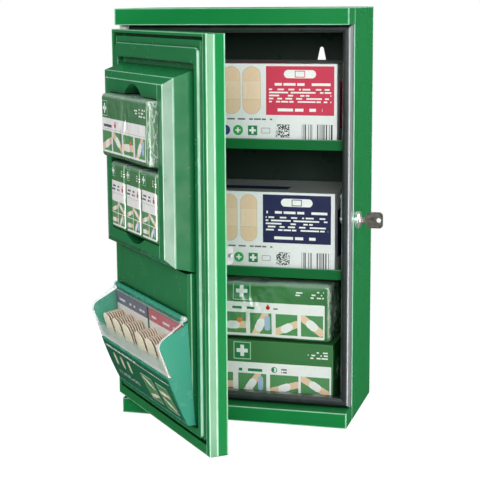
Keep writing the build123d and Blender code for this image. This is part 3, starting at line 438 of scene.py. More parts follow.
# %% Metals and nylon
def metal(name, bright, dull, roughness, scratch, metallic=1.0):
    board = Board(name, Metallic=metallic)
    tarnish = board.noise(140.0, 3.0, 0.6)
    stretched = board.place * (90.0, 1400.0, 1400.0)
    lines = board.noise(1.0, 3.0, 0.6, stretched)
    rounded = board.soft_edge(0.0004)
    return board.feed(Base_Color=board.mix(tarnish.ramp(0.35, 0.7), bright, dull),
                      Roughness=lines.ramp(0.3, 0.7, roughness - 0.06, roughness + 0.08),
                      Normal=board.bumps(lines, scratch, rounded))


zinc = metal("zinc_plate", (0.56, 0.57, 0.58), (0.38, 0.38, 0.37), 0.36, 0.00002)
chrome = metal("lock_chrome", (0.88, 0.89, 0.90), (0.74, 0.74, 0.74), 0.26, 0.000008, 0.75)
nickel = metal("key_nickel", (0.33, 0.32, 0.28), (0.14, 0.135, 0.11), 0.32, 0.00003)
dull_zinc = metal("dull_zinc", (0.50, 0.51, 0.50), (0.40, 0.41, 0.40), 0.55, 0.00001, 0.3)
dress(dull_zinc, "strike_bracket", "strike_screws")
dress(zinc, "shelf_studs", "upper_hinge_pin", "lower_hinge_pin", "strike_pin", "insert_screws",
      "dispenser_screws", "lid_hinge_rod", "lock_nut", "cam_screw")
dress(chrome, "lock_housing", "lock_plug", "lock_cam")
dress(nickel, "key")

board = Board("bush_nylon", IOR=1.5)
wax = board.noise(90.0, 2.0)
board.feed(Base_Color=board.mix(wax.ramp(0.3, 0.7), (0.70, 0.72, 0.70), (0.60, 0.62, 0.59)),
           Roughness=wax.ramp(0.3, 0.7, 0.40, 0.55), Normal=board.bumps(wax, 0.00003))
dress(board.material, "upper_hinge_bush", "lower_hinge_bush")

# %% [markdown]
# ## Prints
# Cartons, pouches and labels carry flat prints. Each print is drawn from simple shapes: a rounded block, a
# disc, a bar with round ends and rows of short dashes. A shape is a mask made from the distance to its
# middle, which stays sharp at any zoom, and shapes are laid over each other as inks are.

# %% Shapes for prints
white_ink = (0.96, 0.965, 0.95)
sign_green = (0.010, 0.250, 0.080)
pale_border = (0.50, 0.72, 0.50)
skin_beige = (0.92, 0.67, 0.46)
pad_beige = (0.96, 0.73, 0.52)
grey_ink = (0.12, 0.12, 0.13)
drop_red = (0.60, 0.01, 0.02)
line_grey = (0.45, 0.45, 0.45)


class Print:
    """A flat print: shapes are laid one over another on a colour, in millimetres."""

    def __init__(self, board, place, ground):
        self.board, self.place = board, place
        self.colour = board.plain(ground)

    def lay(self, mask, ink):
        self.colour = self.board.mix(mask, self.colour, ink)

    def block_mask(self, left, right, low, high, corner=0.05):
        centre = ((left + right) / 2, (low + high) / 2, 0.0)
        half = ((right - left) / 2 - corner, (high - low) / 2 - corner, 1.0)
        return ((self.place - centre).size() - half).top(0.0).length() < corner

    def block(self, left, right, low, high, ink, corner=0.05):
        self.lay(self.block_mask(left, right, low, high, corner), ink)

    def disc(self, across, up, radius, ink):
        self.lay((self.place - (across, up, 0.0)).length() < radius, ink)

    def bar(self, start, end, radius, ink, inside=None):
        step = Vector((end[0] - start[0], end[1] - start[1], 0.0))
        reach = self.place - (start[0], start[1], 0.0)
        share = (reach.dot(tuple(step)) / step.length_squared).top(0.0).least(1.0)
        foot = self.board.flat(share * step.x, share * step.y)
        mask = (reach - foot).length() < radius
        self.lay(mask * inside if inside else mask, ink)

    def cross(self, across, up, reach, arm, ink):
        self.block(across - reach, across + reach, up - arm, up + arm, ink)
        self.block(across - arm, across + arm, up - reach, up + reach, ink)

    def sign(self, across, up, half, border=0.8):
        """The common sign for first aid: a white cross on a green square."""
        self.block(across - half, across + half, up - half, up + half, pale_border)
        half -= border
        self.block(across - half, across + half, up - half, up + half, sign_green)
        self.cross(across, up, half * 0.72, half * 0.24, white_ink)

    def dashes(self, left, right, low, high, rows, ink, seed=0.0):
        """Rows of short dashes of uneven length."""
        across, up = self.place.part_along("X"), self.place.part_along("Y")
        pitch = (high - low) / rows
        row = (up - low) / pitch
        place = self.board.flat(across * (0.55 / pitch) + seed, row.whole() * 7.3)
        dashed = self.board.noise(1.0, 0.0, 0.0, place) > 0.44
        self.lay(self.block_mask(left, right, low, high) * (row.part() < 0.5) * dashed, ink)

    def stripes(self, left, right, low, high, pitch, ink):
        """Upright stripes of uneven width."""
        inked = self.board.chance((self.place.part_along("X") / pitch).whole(), "1D") > 0.48
        self.lay(self.block_mask(left, right, low, high) * inked, ink)

    def dots(self, left, right, low, high, pitch, ink):
        """A block of square dots in no order."""
        inked = self.board.chance((self.place / pitch).whole(), "3D") > 0.5
        self.lay(self.block_mask(left, right, low, high) * inked, ink)

    def drop(self, across, up, radius, height, tip):
        """A red drop: a disc with a point on it."""
        self.disc(across, up, radius, drop_red)
        self.bar((across, up + 1), (across, up + height), tip, drop_red)

    def plaster(self, across, low, high, half, ink=skin_beige):
        """A plaster as it lies: a long strip with round ends and a pad in its middle."""
        outline, glint, crease = (0.62, 0.42, 0.28), (0.9, 0.82, 0.7), (0.55, 0.38, 0.26)
        left, right, third = across - half, across + half, (high - low) / 3.2
        pad_low, pad_high, inset = low + third, high - third, half * 0.75
        self.block(left - 0.35, right + 0.35, low - 0.35, high + 0.35, outline, half)
        self.block(left, right, low, high, ink, half)
        self.block(left, right, pad_low, pad_high, pad_beige, 0.3)
        self.block(across - inset, across + inset, pad_high - 1.4, pad_high - 0.6, glint)
        self.block(across - inset, across - half * 0.62, pad_low, pad_high - 0.6, glint)
        self.block(left, right, pad_low - 0.3, pad_low, crease)

    def picture(self, left, right, low, high, number):
        """A small plain picture: a bandaged arm, in one of four lays, on green."""
        ground = self.block_mask(left, right, low, high, 0.4)
        self.lay(ground, (0.10, 0.33, 0.12))
        wide, tall = right - left, high - low

        def spot(across, up):
            return left + wide * across, low + tall * up

        arms = (((0.05, 0.15), (0.95, 0.55)), ((0.10, 0.85), (0.90, 0.20)),
                ((0.00, 0.35), (1.00, 0.40)), ((0.25, 0.00), (0.70, 0.90)))
        wraps = (((0.42, 0.30), (0.60, 0.40)), ((0.42, 0.60), (0.58, 0.46)),
                 ((0.30, 0.37), (0.52, 0.38)), ((0.40, 0.30), (0.52, 0.55)))
        arm, wrap = arms[number % 4], wraps[number % 4]
        girth = min(wide, tall) * 0.17
        self.bar(spot(*arm[0]), spot(*arm[1]), girth, skin_beige, ground)
        self.bar(spot(*wrap[0]), spot(*wrap[1]), girth * 1.15, white_ink, ground)
        if number % 4 == 2:
            self.disc(*spot(0.72, 0.62), girth * 0.7, (0.80, 0.22, 0.03))
        if number % 4 == 3:
            self.bar(spot(0.80, 0.30), spot(0.80, 0.75), girth * 0.8, (0.45, 0.58, 0.80), ground)


# %% [markdown]
# ## Cartons on the shelves
# Two white cartons of plaster refills and one green kit carton are folded from coated card. Card shows a
# soft sheen, a slightly darker line where a flap closes, and fibres that fray pale at the folds. The front
# carries the print, and the same print is kept off the other faces by a mask on the depth. The top and the
# ends have darker grounds than the front: painted shade.

# %% Carton card
card_white = (0.88, 0.89, 0.90)
carton_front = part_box("upper_refill_box")[0][1] * 1000
flap_line = carton_front + 13.6, carton_front + 14.2
face_depth = 0.5


def card_board(name):
    board = Board(name, IOR=1.5, Specular_IOR_Level=0.35)
    return board, *board.axes()


def on_faces(board, y, z, top, front, shaded_lid, shaded_end):
    """Chooses the print by place: the front's by depth, the lid's by height, and the ends' elsewhere. The
    lid's and the ends' darker grounds are painted shade.
    """
    is_front = y < carton_front + face_depth
    is_top = z > top - face_depth
    return board.mix(is_front, board.mix(is_top, shaded_end.colour, shaded_lid.colour), front.colour)


def finish_card(board, colour, roughness, fold_ink):
    """Fibres, a frayed fold and a coated sheen over a print."""
    rounded = board.soft_edge(0.0009)
    on_edge = (1.0 - rounded.dot(board.facing)).ramp(0.01, 0.2)
    fibres = board.noise(240.0, 4.0, 0.7)
    colour = board.shade(board.mix(on_edge * 0.35, colour, fold_ink), fibres.ramp(0.3, 0.7, 0.96, 1.02))
    board.feed(Base_Color=colour, Roughness=fibres.ramp(0.3, 0.7, roughness - 0.05, roughness + 0.1),
               Normal=board.bumps(board.noise(45.0, 3.0), 0.00035, rounded))
    return board.material


def refill_carton(name, label, right, top, low, label_box, half, plasters):
    """Card for a refill carton. The label's box is its left, right, low and high."""
    label_left, label_right, label_low, label_high = label_box
    board, x, y, z = card_board(name)
    front = Print(board, board.flat(x, z), card_white)
    for across in plasters:
        front.plaster(across, label_low + 1.0, label_high - 1.0, half)
    front.block(label_left, label_right, label_low, label_high, label)
    middle = (label_left + label_right) / 2
    front.block(middle - 22, middle + 22, label_high - 16, label_high - 5, white_ink, 5.5)
    front.block(middle - 7, middle + 7, label_high - 15, label_high - 6, label, 1.0)
    front.block(middle - 6, middle + 6, label_high - 14, label_high - 7, white_ink, 0.6)
    front.dashes(label_left + 5, label_right - 5, label_high - 26, label_high - 19, 1, white_ink, 3.0)
    front.dashes(label_left + 4, label_right - 4, label_low + 17, label_high - 28, 5, white_ink)
    front.dashes(label_left + 16, label_right - 16, label_low + 5, label_low + 13, 1, white_ink, 9.0)
    icons = low + (label_low - low) * 0.52
    front.disc(-20, icons, 7.0, (0.02, 0.05, 0.20))
    front.disc(-2, icons, 7.0, (0.03, 0.42, 0.10))
    front.cross(-2, icons, 3.6, 1.1, white_ink)
    front.block(12, 25, icons - 6.5, icons + 6.5, sign_green)
    front.cross(18.5, icons, 4.6, 1.5, white_ink)
    front.block(31, 43, icons - 3.6, icons + 3.6, grey_ink, 1.2)
    front.block(31.5, 42.5, icons - 3.1, icons + 3.1, card_white, 1.0)
    front.dots(51, 70, icons - 9, icons + 9, 1.05, (0.03, 0.03, 0.03))
    front.stripes(87, right - 6, low + 1, label_low - 12, 0.85, (0.06, 0.06, 0.06))
    front.dashes(-60, 46, label_low - 7, label_low - 3, 1, grey_ink, 5.0)
    front.dashes(-60, 46, low + 1.5, low + 6, 2, grey_ink, 1.0)
    # The top's grey ground and the ends' lighter grey are painted shade on the white card.
    shaded_lid = Print(board, board.flat(x, y), (0.42, 0.43, 0.44))
    shaded_lid.block(-70, 60, carton_front + 30, carton_front + 58, label, 1.0)
    shaded_lid.block(-200, 200, *flap_line, (0.16, 0.16, 0.16))
    shaded_end = Print(board, board.flat(y, z), (0.62, 0.63, 0.64))
    shaded_end.block(carton_front + 20, carton_front + 60, low + 25, top - 25, label, 1.0)
    shaded_end.block(carton_front + 62.6, carton_front + 63.2, low, top, (0.3, 0.3, 0.3))
    colour = on_faces(board, y, z, top, front, shaded_lid, shaded_end)
    return finish_card(board, colour, 0.42, (0.85, 0.85, 0.84))


upper_low, upper_top = (corner[2] * 1000 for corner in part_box("upper_refill_box"))
middle_low, middle_top = (corner[2] * 1000 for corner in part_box("middle_refill_box"))
upper_card = refill_carton("upper_carton_card", (0.68, 0.036, 0.092), 135.0, upper_top, upper_low,
                           (37.5, 131.0, 417.0, 482.5), 12.4, (17.3, -11.0, -38.0, -65.0, -92.0))
middle_card = refill_carton("middle_carton_card", (0.010, 0.014, 0.085), 132.8, middle_top, middle_low,
                            (32.5, 127.5, 242.0, 308.6), 11.5, (12.5, -15.5, -42.0, -68.0, -94.0))
dress(upper_card, "upper_refill_box")
dress(middle_card, "middle_refill_box")

# %% [markdown]
# ## Kit carton and film pack
# The lowest carton is green with a white panel that runs nearly the whole width, and a row of plain pictures
# of a bandaged arm. The pack of dressings on it has the same scheme under clear film. The front has its own
# print, and masks on height and depth give the top and the end their plainer ones, in darker greens that
# are painted shade.

# %% Kit carton
pack_green = (0.050, 0.215, 0.062)
kit_low, kit_top = (corner[2] * 1000 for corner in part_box("protection_kit_box"))
board, x, y, z = card_board("kit_carton_card")
front = Print(board, board.flat(x, z), pack_green)
front.sign(2.0, kit_top - 15.0, 12.5, 1.2)
front.dashes(96, 124, kit_top - 21, kit_top - 9, 3, white_ink, 2.0)
front.block(-103, 129.0, 24.0, 71.0, white_ink, 1.5)
front.dashes(-3, 34, 58, 66, 1, sign_green, 4.0)
front.disc(48, 62, 4.2, sign_green)
front.disc(48, 62, 3.2, white_ink)
front.block(45.0, 48.0, 59.2, 64.8, sign_green, 1.2)
front.dashes(58, 66, 58, 66, 2, grey_ink, 6.0)
for number, start in enumerate((-101.0, -52.0, -4.0, 42.0, 86.0)):
    front.picture(start, start + 40.5, 27.0, 55.0, number + 1)
# The end's and the top's darker greens are painted shade.
shaded_end = Print(board, board.flat(y, z), (0.030, 0.150, 0.045))
shaded_end.sign(carton_front + 30, 62.0, 13.0, 1.0)
shaded_end.block(carton_front + 52.6, carton_front + 53.2, kit_low, kit_top, (0.02, 0.10, 0.03))
shaded_lid = Print(board, board.flat(x, y), (0.040, 0.190, 0.055))
shaded_lid.block(-200, 200, *flap_line, (0.02, 0.09, 0.03))
colour = on_faces(board, y, z, kit_top, front, shaded_lid, shaded_end)
dress(finish_card(board, colour, 0.40, (0.30, 0.50, 0.30)), "protection_kit_box")

# %% [markdown]
# ## Soft packs
# A dressing is a soft block that is wrapped tight in film. Film can't stretch, so it bulges between its
# edges, pulls in at the corners and creases there. That is what Blender's Cloth does to a closed skin with
# pressure inside, so each pack starts as a box with rounded edges, gets an even skin of small faces, and is
# blown up for a few frames. A cap on how far a point may go keeps the pack in the space that it has.

# %% Film packs
film_pressure, film_margin, pocket_floor = 3.0, 0.0006, 0.003
door_turn = Matrix((door_along, door_out, Vector((0, 0, 1)))).transposed()


def only(piece):
    bpy.ops.object.select_all(action="DESELECT")
    piece.select_set(True)
    bpy.context.view_layer.objects.active = piece


def soft_block(name, size, rounding, skin, spread=0.0):
    """A box with rounded edges and an even skin of small faces. Its front may spread to the right."""
    bpy.ops.mesh.primitive_cube_add(size=1.0)
    pack = bpy.context.object
    pack.name = name
    bpy.ops.object.mode_set(mode="EDIT")
    bpy.ops.transform.resize(value=size)
    if spread:
        bpy.ops.mesh.select_all(action="DESELECT")
        bpy.ops.object.mode_set(mode="OBJECT")
        for vertex in pack.data.vertices:
            vertex.select = vertex.co.y > 0
        bpy.ops.object.mode_set(mode="EDIT")
        bpy.ops.transform.resize(value=(1.0 + spread / size[0], 1.0, 1.0))
        bpy.ops.transform.translate(value=(spread / 2, 0, 0))
        bpy.ops.mesh.select_all(action="SELECT")
    bpy.ops.mesh.bevel(offset=rounding, segments=3, affect="EDGES")
    bpy.ops.object.mode_set(mode="OBJECT")
    only(pack)
    pack.data.remesh_voxel_size = skin
    bpy.ops.object.voxel_remesh()
    return pack


def wrap_in_film(pack, cap):
    """Blows the skin up, holds each point within the cap and smooths the result."""
    start = [vertex.co.copy() for vertex in pack.data.vertices]
    only(pack)
    creases = bpy.data.textures.new(pack.name + "_creases", "CLOUDS")
    creases.noise_scale, creases.noise_depth = 0.018, 2
    ripple = pack.modifiers.new("creases", "DISPLACE")
    ripple.texture, ripple.strength, ripple.texture_coords = creases, 0.0011, "LOCAL"
    bpy.ops.object.modifier_apply(modifier=ripple.name)
    scene = bpy.context.scene
    cloth = pack.modifiers.new("film", "CLOTH")
    cloth.settings.quality = 6
    cloth.settings.use_pressure = True
    cloth.settings.uniform_pressure_force = film_pressure
    cloth.settings.tension_stiffness = cloth.settings.compression_stiffness = 40
    cloth.settings.bending_stiffness = 0.2
    cloth.settings.shrink_min = -0.03
    cloth.settings.effector_weights.gravity = 0
    cloth.collision_settings.use_collision = False
    for step in range(1, 15):
        scene.frame_set(step)
    bpy.ops.object.modifier_apply(modifier=cloth.name)
    scene.frame_set(1)
    for vertex, place in zip(pack.data.vertices, start):
        move = vertex.co - place
        if move.length > cap:
            vertex.co = place + move * (cap / move.length)
    rounder = pack.modifiers.new("rounder", "SUBSURF")
    rounder.levels = rounder.render_levels = 1
    bpy.ops.object.modifier_apply(modifier=rounder.name)
    bpy.ops.object.shade_smooth()


def put(piece, centre, turn=None):
    """Moves a finished shape to its place, in its mesh, so that its object stays at the origin."""
    place = Matrix.Translation(centre) @ (turn.to_4x4() if turn else Matrix())
    piece.data.transform(place)
    piece.data.update()
    print(piece.name, "faces", len(piece.data.polygons))


def door_pack(name, node, left, right, low, high, rise_high, cap, spread=0.0):
    """A wrapped pack in the housing, between two heights, up to a rise from the door's face."""
    size = (right - left - 2 * film_margin, rise_high - pocket_floor - 2 * film_margin,
            high - low - 2 * film_margin)
    pack = soft_block(name, size, 0.0042, 0.0021, spread)
    wrap_in_film(pack, cap)
    put(pack, door_spot((left + right) / 2, (pocket_floor + rise_high) / 2, (low + high) / 2), door_turn)
    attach(pack, "door")
    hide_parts(node)
    return pack


door_pack("wrapped_dressing_pouch", "dressing_pouch", 0.0775, 0.2405, 0.3713, 0.453, 0.0455, 0.0006, 0.0045)
for place, middle in (("left", 0.104), ("middle", 0.159), ("right", 0.214)):
    door_pack(f"{place}_wrapped_mini_pouch", f"{place}_mini_pouch", middle - 0.02675, middle + 0.02675,
              0.2758, 0.364, 0.0338, 0.0005)

end_room, film_room = 0.008, 0.003
pack_low, pack_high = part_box("film_wrapped_dressing")
pack_right = pack_high[0] - end_room
size = (pack_right - pack_low[0] - film_room, pack_high[1] - pack_low[1] - film_room,
        pack_high[2] - pack_low[2] - film_room)
film_pack = soft_block("film_wrapped_pack", size, 0.0055, 0.0032)
wrap_in_film(film_pack, 0.002)
put(film_pack, Vector(((pack_right + pack_low[0]) / 2, (pack_high[1] + pack_low[1]) / 2,
                       (pack_high[2] + pack_low[2]) / 2)))
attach(film_pack, "case")
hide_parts("film_wrapped_dressing")

# %% [markdown]
# ## Film over a print
# Clear film adds two things to the print under it: a sharp gloss, and fine creases that break that gloss
# up. The coat carries the gloss, and the creases are a bump of stretched noise, deeper near the ends where
# the film is gathered. Over the print a pale grey-green is mixed in on faces that turn upwards, as a
# painted reflection, and on the ends the raised lines of the creases are painted as near-white highlights.

# %% Film finishes
film_gloss = {"IOR": 1.5, "Specular_IOR_Level": 0.5, "Coat_Weight": 0.6, "Coat_Roughness": 0.2}


def film_finish(board, colour, end_direction, crease_scale, depth, end_glint=0.8):
    on_end = board.own_facing.dot(end_direction).ramp(0.35, 0.85)
    painted_top_reflection = board.own_facing.dot((0.0, 0.0, 1.0)).ramp(0.0, 0.65)
    creases = board.noise(crease_scale, 3.0, 0.55, board.place * (1.0, 1.0, 0.35))
    waves = board.noise(26.0, 1.0)
    ridge_glints = (creases - 0.5).size().ramp(0.0, 0.045, 1.0, 0.0)
    # Painted reflection: faces that turn upwards get a pale grey-green.
    colour = board.mix(painted_top_reflection * 0.68, colour, (0.44, 0.60, 0.51))
    # Painted highlights: on the ends the raised lines of the creases turn near white.
    colour = board.mix(on_end * (ridge_glints * 0.9 + 0.10) * end_glint, colour, (0.80, 0.86, 0.83))
    return board.feed(Base_Color=colour, Roughness=waves.ramp(0.3, 0.7, 0.20, 0.32),
                      Normal=board.bumps(waves * 0.6 + creases * on_end * 0.8, depth))


board = Board("film_over_pack", **film_gloss)
x, y, z = board.axes()
front = Print(board, board.flat(x, z), pack_green)
front.sign(1.0, 172.0, 12.5, 1.2)
front.dashes(78, 88, 169, 176, 2, white_ink, 8.0)
front.dashes(98, 118, 166, 178, 3, white_ink, 2.0)
front.block(-100, 119.0, 108.0, 157.0, white_ink, 1.5)
front.dashes(-12, 20, 147, 154, 1, sign_green, 4.0)
front.drop(39, 150, 2.9, 3.5, 1.2)
front.dashes(47, 53, 148, 152, 1, grey_ink, 6.0)
for number, start in enumerate((-96.0, -60.0, -24.0, 13.0, 50.0, 86.0)):
    front.picture(start, start + 31.0, 112.0, 142.0, number)
film_front = film_pack.bound_box[0][1] * 1000
colour = board.mix(y < film_front + 7.0, (0.055, 0.200, 0.075), front.colour)
dress(film_finish(board, colour, (1.0, 0.0, 0.0), 110.0, 0.0016), "film_wrapped_pack")


def door_board(name, **constants):
    """A board whose print is laid out on the door: across from the hinge edge, and up."""
    board = Board(name, **constants)
    across = board.along(door_along, 1000 * door_corner.dot(door_along))
    rise = board.along(door_out, 1000 * door_corner.dot(door_out))
    return board, across, rise, board.along((0, 0, 1))


board, u, rise, z = door_board("film_over_pouch", **film_gloss)
front = Print(board, board.flat(u, z), (0.060, 0.215, 0.080))
front.sign(92.0, 434.3, 9.8, 0.9)
front.dashes(200, 210, 434, 441, 2, white_ink, 8.0)
front.dashes(215, 236, 431, 443, 3, white_ink, 2.0)
front.block(81.0, 237.0, 377.8, 422.0, white_ink, 1.0)
front.dashes(84, 118, 410.5, 417.5, 1, grey_ink, 4.0)
front.drop(130, 413.5, 3.0, 4.5, 1.2)
front.block(82.5, 235.5, 407.8, 408.3, line_grey)
for number, start in enumerate((83.5, 121.5, 160.5, 200.5)):
    front.picture(start, start + 34.0, 380.5, 405.5, number)
colour = board.mix(rise > 36.0, (0.05, 0.17, 0.07), front.colour)
dress(film_finish(board, colour, tuple(door_along), 150.0, 0.0014), "wrapped_dressing_pouch")

board, u, rise, z = door_board("film_over_mini_pouch", **film_gloss)
place_in_pouch = u - (104.0 - 26.75)
own = place_in_pouch - (place_in_pouch / 55.0).whole() * 55.0
front = Print(board, board.flat(own, z), (0.045, 0.215, 0.055))
front.sign(10.0, 352.0, 7.2, 0.7)
front.dashes(40, 51, 347, 356, 3, white_ink, 2.0)
front.block(2.0, 51.5, 280.0, 339.5, white_ink, 3.0)
front.dashes(5, 34, 327, 336, 2, grey_ink, 4.0)
front.block(4.0, 50.0, 323.0, 323.5, line_grey)
front.drop(43.5, 329, 2.8, 5.0, 1.1)
for number, (left, low) in enumerate(((4.0, 298.0), (27.5, 298.0), (4.0, 282.5), (27.5, 282.5))):
    front.picture(left, left + 22.0, low, low + 14.5, number)
colour = board.mix(rise > 26.0, (0.04, 0.17, 0.06), front.colour)
dress(film_finish(board, colour, tuple(door_along), 190.0, 0.0010, 0.12),
      *(f"{place}_wrapped_mini_pouch" for place in ("left", "middle", "right")))

# %% [markdown]
# ## The dispenser's lid
# The lid is clear plastic, thin enough that what it bends doesn't show, so its see-through part is an alpha
# and not a refraction. It is frosted on its lower front and paler along its rim. It casts no shadow here,
# so that it doesn't dim the light on the strips behind it.

# %% Lid
board, u, _, z = door_board("clear_lid", IOR=1.49, Specular_IOR_Level=0.5, Coat_Weight=1.0,
                            Coat_Roughness=0.04)
lid_left, lid_right = 37.5, 280.5
at_end = ((u - lid_left).least(lid_right - u)).ramp(1.2, 2.2, 1.0, 0.0)
frosted = z.ramp(138.0, 146.0, 1.0, 0.0)
low_rim = z.ramp(123.0, 126.0, 1.0, 0.0)
hinge_end = (z > 185.5)
haze = board.noise(40.0, 3.0)
clear = haze.ramp(0.3, 0.7, 0.03, 0.07)
alpha = clear + frosted * 0.50
alpha = alpha.top(at_end * 0.62).top(low_rim * 0.85).top(hinge_end * 0.40)
tint = board.mix(frosted, (0.80, 0.92, 0.88), (0.72, 0.86, 0.80))
tint = board.mix(at_end.top(low_rim), tint, (0.90, 0.95, 0.93))
board.feed(Base_Color=tint, Alpha=alpha, Roughness=frosted.ramp(0.0, 1.0, 0.06, 0.30),
           Normal=board.bumps(board.noise(300.0, 2.0), 0.00002))
dress(board.material, "dispenser_lid")
nodes["dispenser_lid"].visible_shadow = False

# %% [markdown]
# ## Paper and card on the dispenser
# The label, the refills' cards, the trays and the plasters' wrappers are finished as paper. Paper is a mat of
# fibres, so one noise changes its tone, its roughness and its height together, and only the scale and the
# amounts differ from one paper to the next.

# %% Dispenser label
def paper(board, colour, fibre, tones, roughness, depth):
    """A paper finish: one noise drives the tone, the roughness and the height."""
    return board.feed(Base_Color=board.shade(colour, fibre.ramp(0.3, 0.7, *tones)),
                      Roughness=fibre.ramp(0.3, 0.7, *roughness), Normal=board.bumps(fibre, depth))


label_green = (0.005, 0.165, 0.070)
board, u, _, z = door_board("dispenser_label_print", IOR=1.5, Specular_IOR_Level=0.18)
front = Print(board, board.flat(u, z), label_green)
front.block(44.0, 274.0, 108.6, 109.4, white_ink)
front.dashes(50, 160, 109.8, 112.8, 1, white_ink, 2.0)
front.dashes(62, 140, 72, 78, 2, (0.55, 0.66, 0.56), 3.0)
for start in (62.0, 88.0, 114.0):
    front.plaster(start + 10.0, 86.0, 103.0, 4.0, (0.62, 0.74, 0.60))
leaning = Print(board, board.flat(u + (z - 98.0) * 0.33, z), label_green)
leaning.colour = front.colour
for number, start in enumerate((165.0, 217.5)):
    leaning.block(start, start + 39.0, 66.0, 98.5, (0.60, 0.78, 0.58), 1.5)
    leaning.block(start + 1.2, start + 37.8, 67.2, 97.3, (0.030, 0.240, 0.080), 1.0)
    leaning.picture(start + 3.0, start + 36.0, 82.5, 96.0, number + 1)
    leaning.picture(start + 3.0, start + 36.0, 68.5, 81.5, number)
dress(paper(board, leaning.colour, board.noise(260.0, 3.0), (0.95, 1.03), (0.30, 0.42), 0.00003),
      "dispenser_front_label")

# %% Refill cards and trays
refill_cards = (("left", (0.105, 0.095, 0.165), 40.0, 158.0),
                ("right", (0.50, 0.055, 0.085), 159.0, 279.0))
for side, ink, start, end in refill_cards:
    board, u, _, z = door_board(f"{side}_refill_card_print", IOR=1.5, Specular_IOR_Level=0.3)
    front = Print(board, board.flat(u, z), (0.78, 0.77, 0.74))
    front.block(start, end, 166.0, 190.0, ink)
    for across in (start + 14, start + 52, start + 86):
        front.dashes(across, across + 22, 171, 177, 1, (0.70, 0.70, 0.75), across)
    dress(paper(board, front.colour, board.noise(300.0, 3.0), (0.95, 1.03), (0.40, 0.55), 0.00004),
          f"{side}_refill_card")

board = Board("tray_card", IOR=1.5, Specular_IOR_Level=0.3)
tray_white = board.plain((0.74, 0.74, 0.70))
dress(paper(board, tray_white, board.noise(200.0, 4.0, 0.7), (0.94, 1.03), (0.5, 0.65), 0.00006),
      "left_refill_tray", "right_refill_tray")

# %% [markdown]
# ## Plaster strips
# Wrapped plasters stand fanned out in the two trays. Their tips are cream where air reaches them and brown
# where they shade each other. An ambient occlusion node tells the two apart and mixes the two colours.

# %% Plaster strips
shaded_paper, open_paper = (0.46, 0.17, 0.05), (1.0, 0.90, 0.70)
for side in ("left", "right"):
    board = Board(f"{side}_plaster_paper", IOR=1.5, Specular_IOR_Level=0.25)
    colour = board.mix(board.open_air(0.005).ramp(0.15, 0.75), shaded_paper, open_paper)
    dress(paper(board, colour, board.noise(500.0, 2.0), (0.92, 1.05), (0.5, 0.7), 0.0001),
          f"{side}_plaster_strips")

# %% [markdown]
# ## Floor, light and background
# The photograph shows the cabinet on plain white. A large pale floor fills the view, and the camera sees it
# and the world as white, while the glossy paint sees a darker studio. That is how such photographs keep a
# dark green saturated. Four soft boxes stand high enough that no upright face mirrors them, and three low
# strips, which only reflections see, are placed where the bevels and the seal mirror them as pale bands.

# %% Floor
lit_floor, shown_floor = (0.75, 0.75, 0.75), (0.93, 0.93, 0.93)
bpy.ops.mesh.primitive_plane_add(size=80.0, location=(0, 0, -0.0004))
floor = bpy.context.object
floor.name = "studio_floor"
floor.select_set(False)
board = Board("floor_paper", Specular_IOR_Level=0.0, Roughness=0.9)
path = board.node("ShaderNodeLightPath")
seen = Wire(board, path.outputs["Is Camera Ray"])
colour = board.mix(seen, lit_floor, shown_floor)
away = board.place.length().ramp(0.35, 1.10, 0.78, 1.0)
glow = away.ramp(0.78, 1.0, 1.20, 1.0)
lifted = board.node("ShaderNodeEmission", {}, {"Color": (1.0, 1.0, 1.0), "Strength": glow})
joined = board.node("ShaderNodeMixShader", {}, {0: seen * away})
board.feed(Base_Color=colour)
board.tree.links.new(board.shader.outputs[0], joined.inputs[1])
board.tree.links.new(lifted.outputs[0], joined.inputs[2])
board.tree.links.new(joined.outputs[0], board.tree.nodes["Material Output"].inputs["Surface"])
floor.data.materials.append(board.material)
floor.visible_glossy = floor.visible_shadow = False

# %% [markdown]
# ## World and soft boxes
# A Light Path node tells what kind of ray meets the world. The camera gets full white, light on the object
# gets a weak share of it, and reflections get less again. Each lamp's power follows from how bright its
# face should look, so a large lamp and a small one can be compared.

# %% World and soft boxes
world_on_object, world_in_gloss = 0.17, 0.45
world = bpy.data.worlds.new("studio")
bpy.context.scene.world = world
world.use_nodes = True
tree = world.node_tree
background = tree.nodes["Background"]
background.inputs["Color"].default_value = (1.0, 1.0, 1.0, 1.0)
ray = tree.nodes.new("ShaderNodeLightPath")


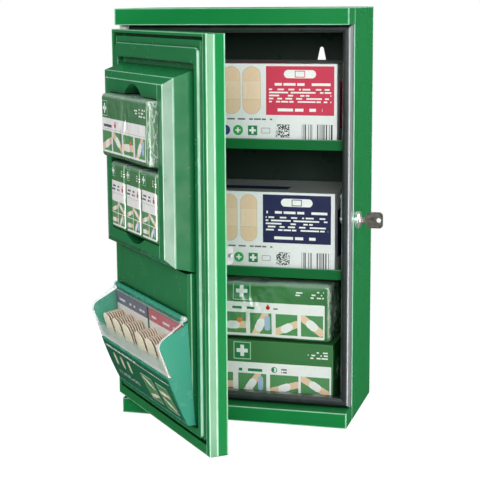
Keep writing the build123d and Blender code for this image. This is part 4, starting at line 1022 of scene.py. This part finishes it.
def by_ray(kind, otherwise, on_ray):
    """One strength for a kind of ray, and another for the rest."""
    choice = tree.nodes.new("ShaderNodeMapRange")
    choice.inputs["To Min"].default_value = otherwise
    choice.inputs["To Max"].default_value = on_ray
    tree.links.new(ray.outputs[kind], choice.inputs["Value"])
    return choice.outputs["Result"]


shown = tree.nodes.new("ShaderNodeMath")
shown.operation = "MULTIPLY"
tree.links.new(by_ray("Is Camera Ray", world_on_object, 1.0), shown.inputs[0])
tree.links.new(by_ray("Is Glossy Ray", 1.0, world_in_gloss), shown.inputs[1])
tree.links.new(shown.outputs["Value"], background.inputs["Strength"])


def soft_box(name, place, aim, width, height, radiance, gloss_only=False):
    """A flat lamp with an even face. Its power follows from how bright that face should look."""
    bpy.ops.object.light_add(type="AREA", location=place)
    lamp = bpy.context.object
    lamp.name = name
    lamp.data.shape = "RECTANGLE"
    lamp.data.size, lamp.data.size_y = width, height
    lamp.data.energy = radiance * math.pi * width * height
    lamp.rotation_euler = (Vector(aim) - Vector(place)).to_track_quat("-Z", "Y").to_euler()
    lamp.visible_camera = False
    lamp.visible_diffuse = not gloss_only
    lamp.select_set(False)
    print(name, "power", round(lamp.data.energy, 1))


soft_box("left_box", (-1.85, -0.60, 1.30), (-0.05, -0.15, 0.28), 1.1, 0.9, 4.2)
soft_box("right_box", (2.10, 0.10, 1.20), (0.05, 0.0, 0.28), 1.2, 1.0, 9.5)
soft_box("front_box", (0.62, -2.15, 0.98), (0.05, -0.05, 0.28), 1.2, 0.8, 11.0)
soft_box("top_box", (0.0, 0.1, 2.2), (0.0, 0.0, 0.3), 1.4, 1.4, 2.8)
soft_box("left_strip", (-1.66, -0.39, 0.20), (-0.06, -0.25, 0.30), 0.42, 0.90, 10.5, True)
soft_box("bevel_strip", (1.10, -1.90, -0.05), (0.037, -0.322, 0.25), 0.36, 1.40, 14.0, True)
soft_box("seal_strip", (4.25, -4.45, -0.75), (0.155, -0.06, 0.25), 0.85, 2.60, 22.0, True)

# %% View transform
bpy.context.scene.view_settings.view_transform = "Standard"
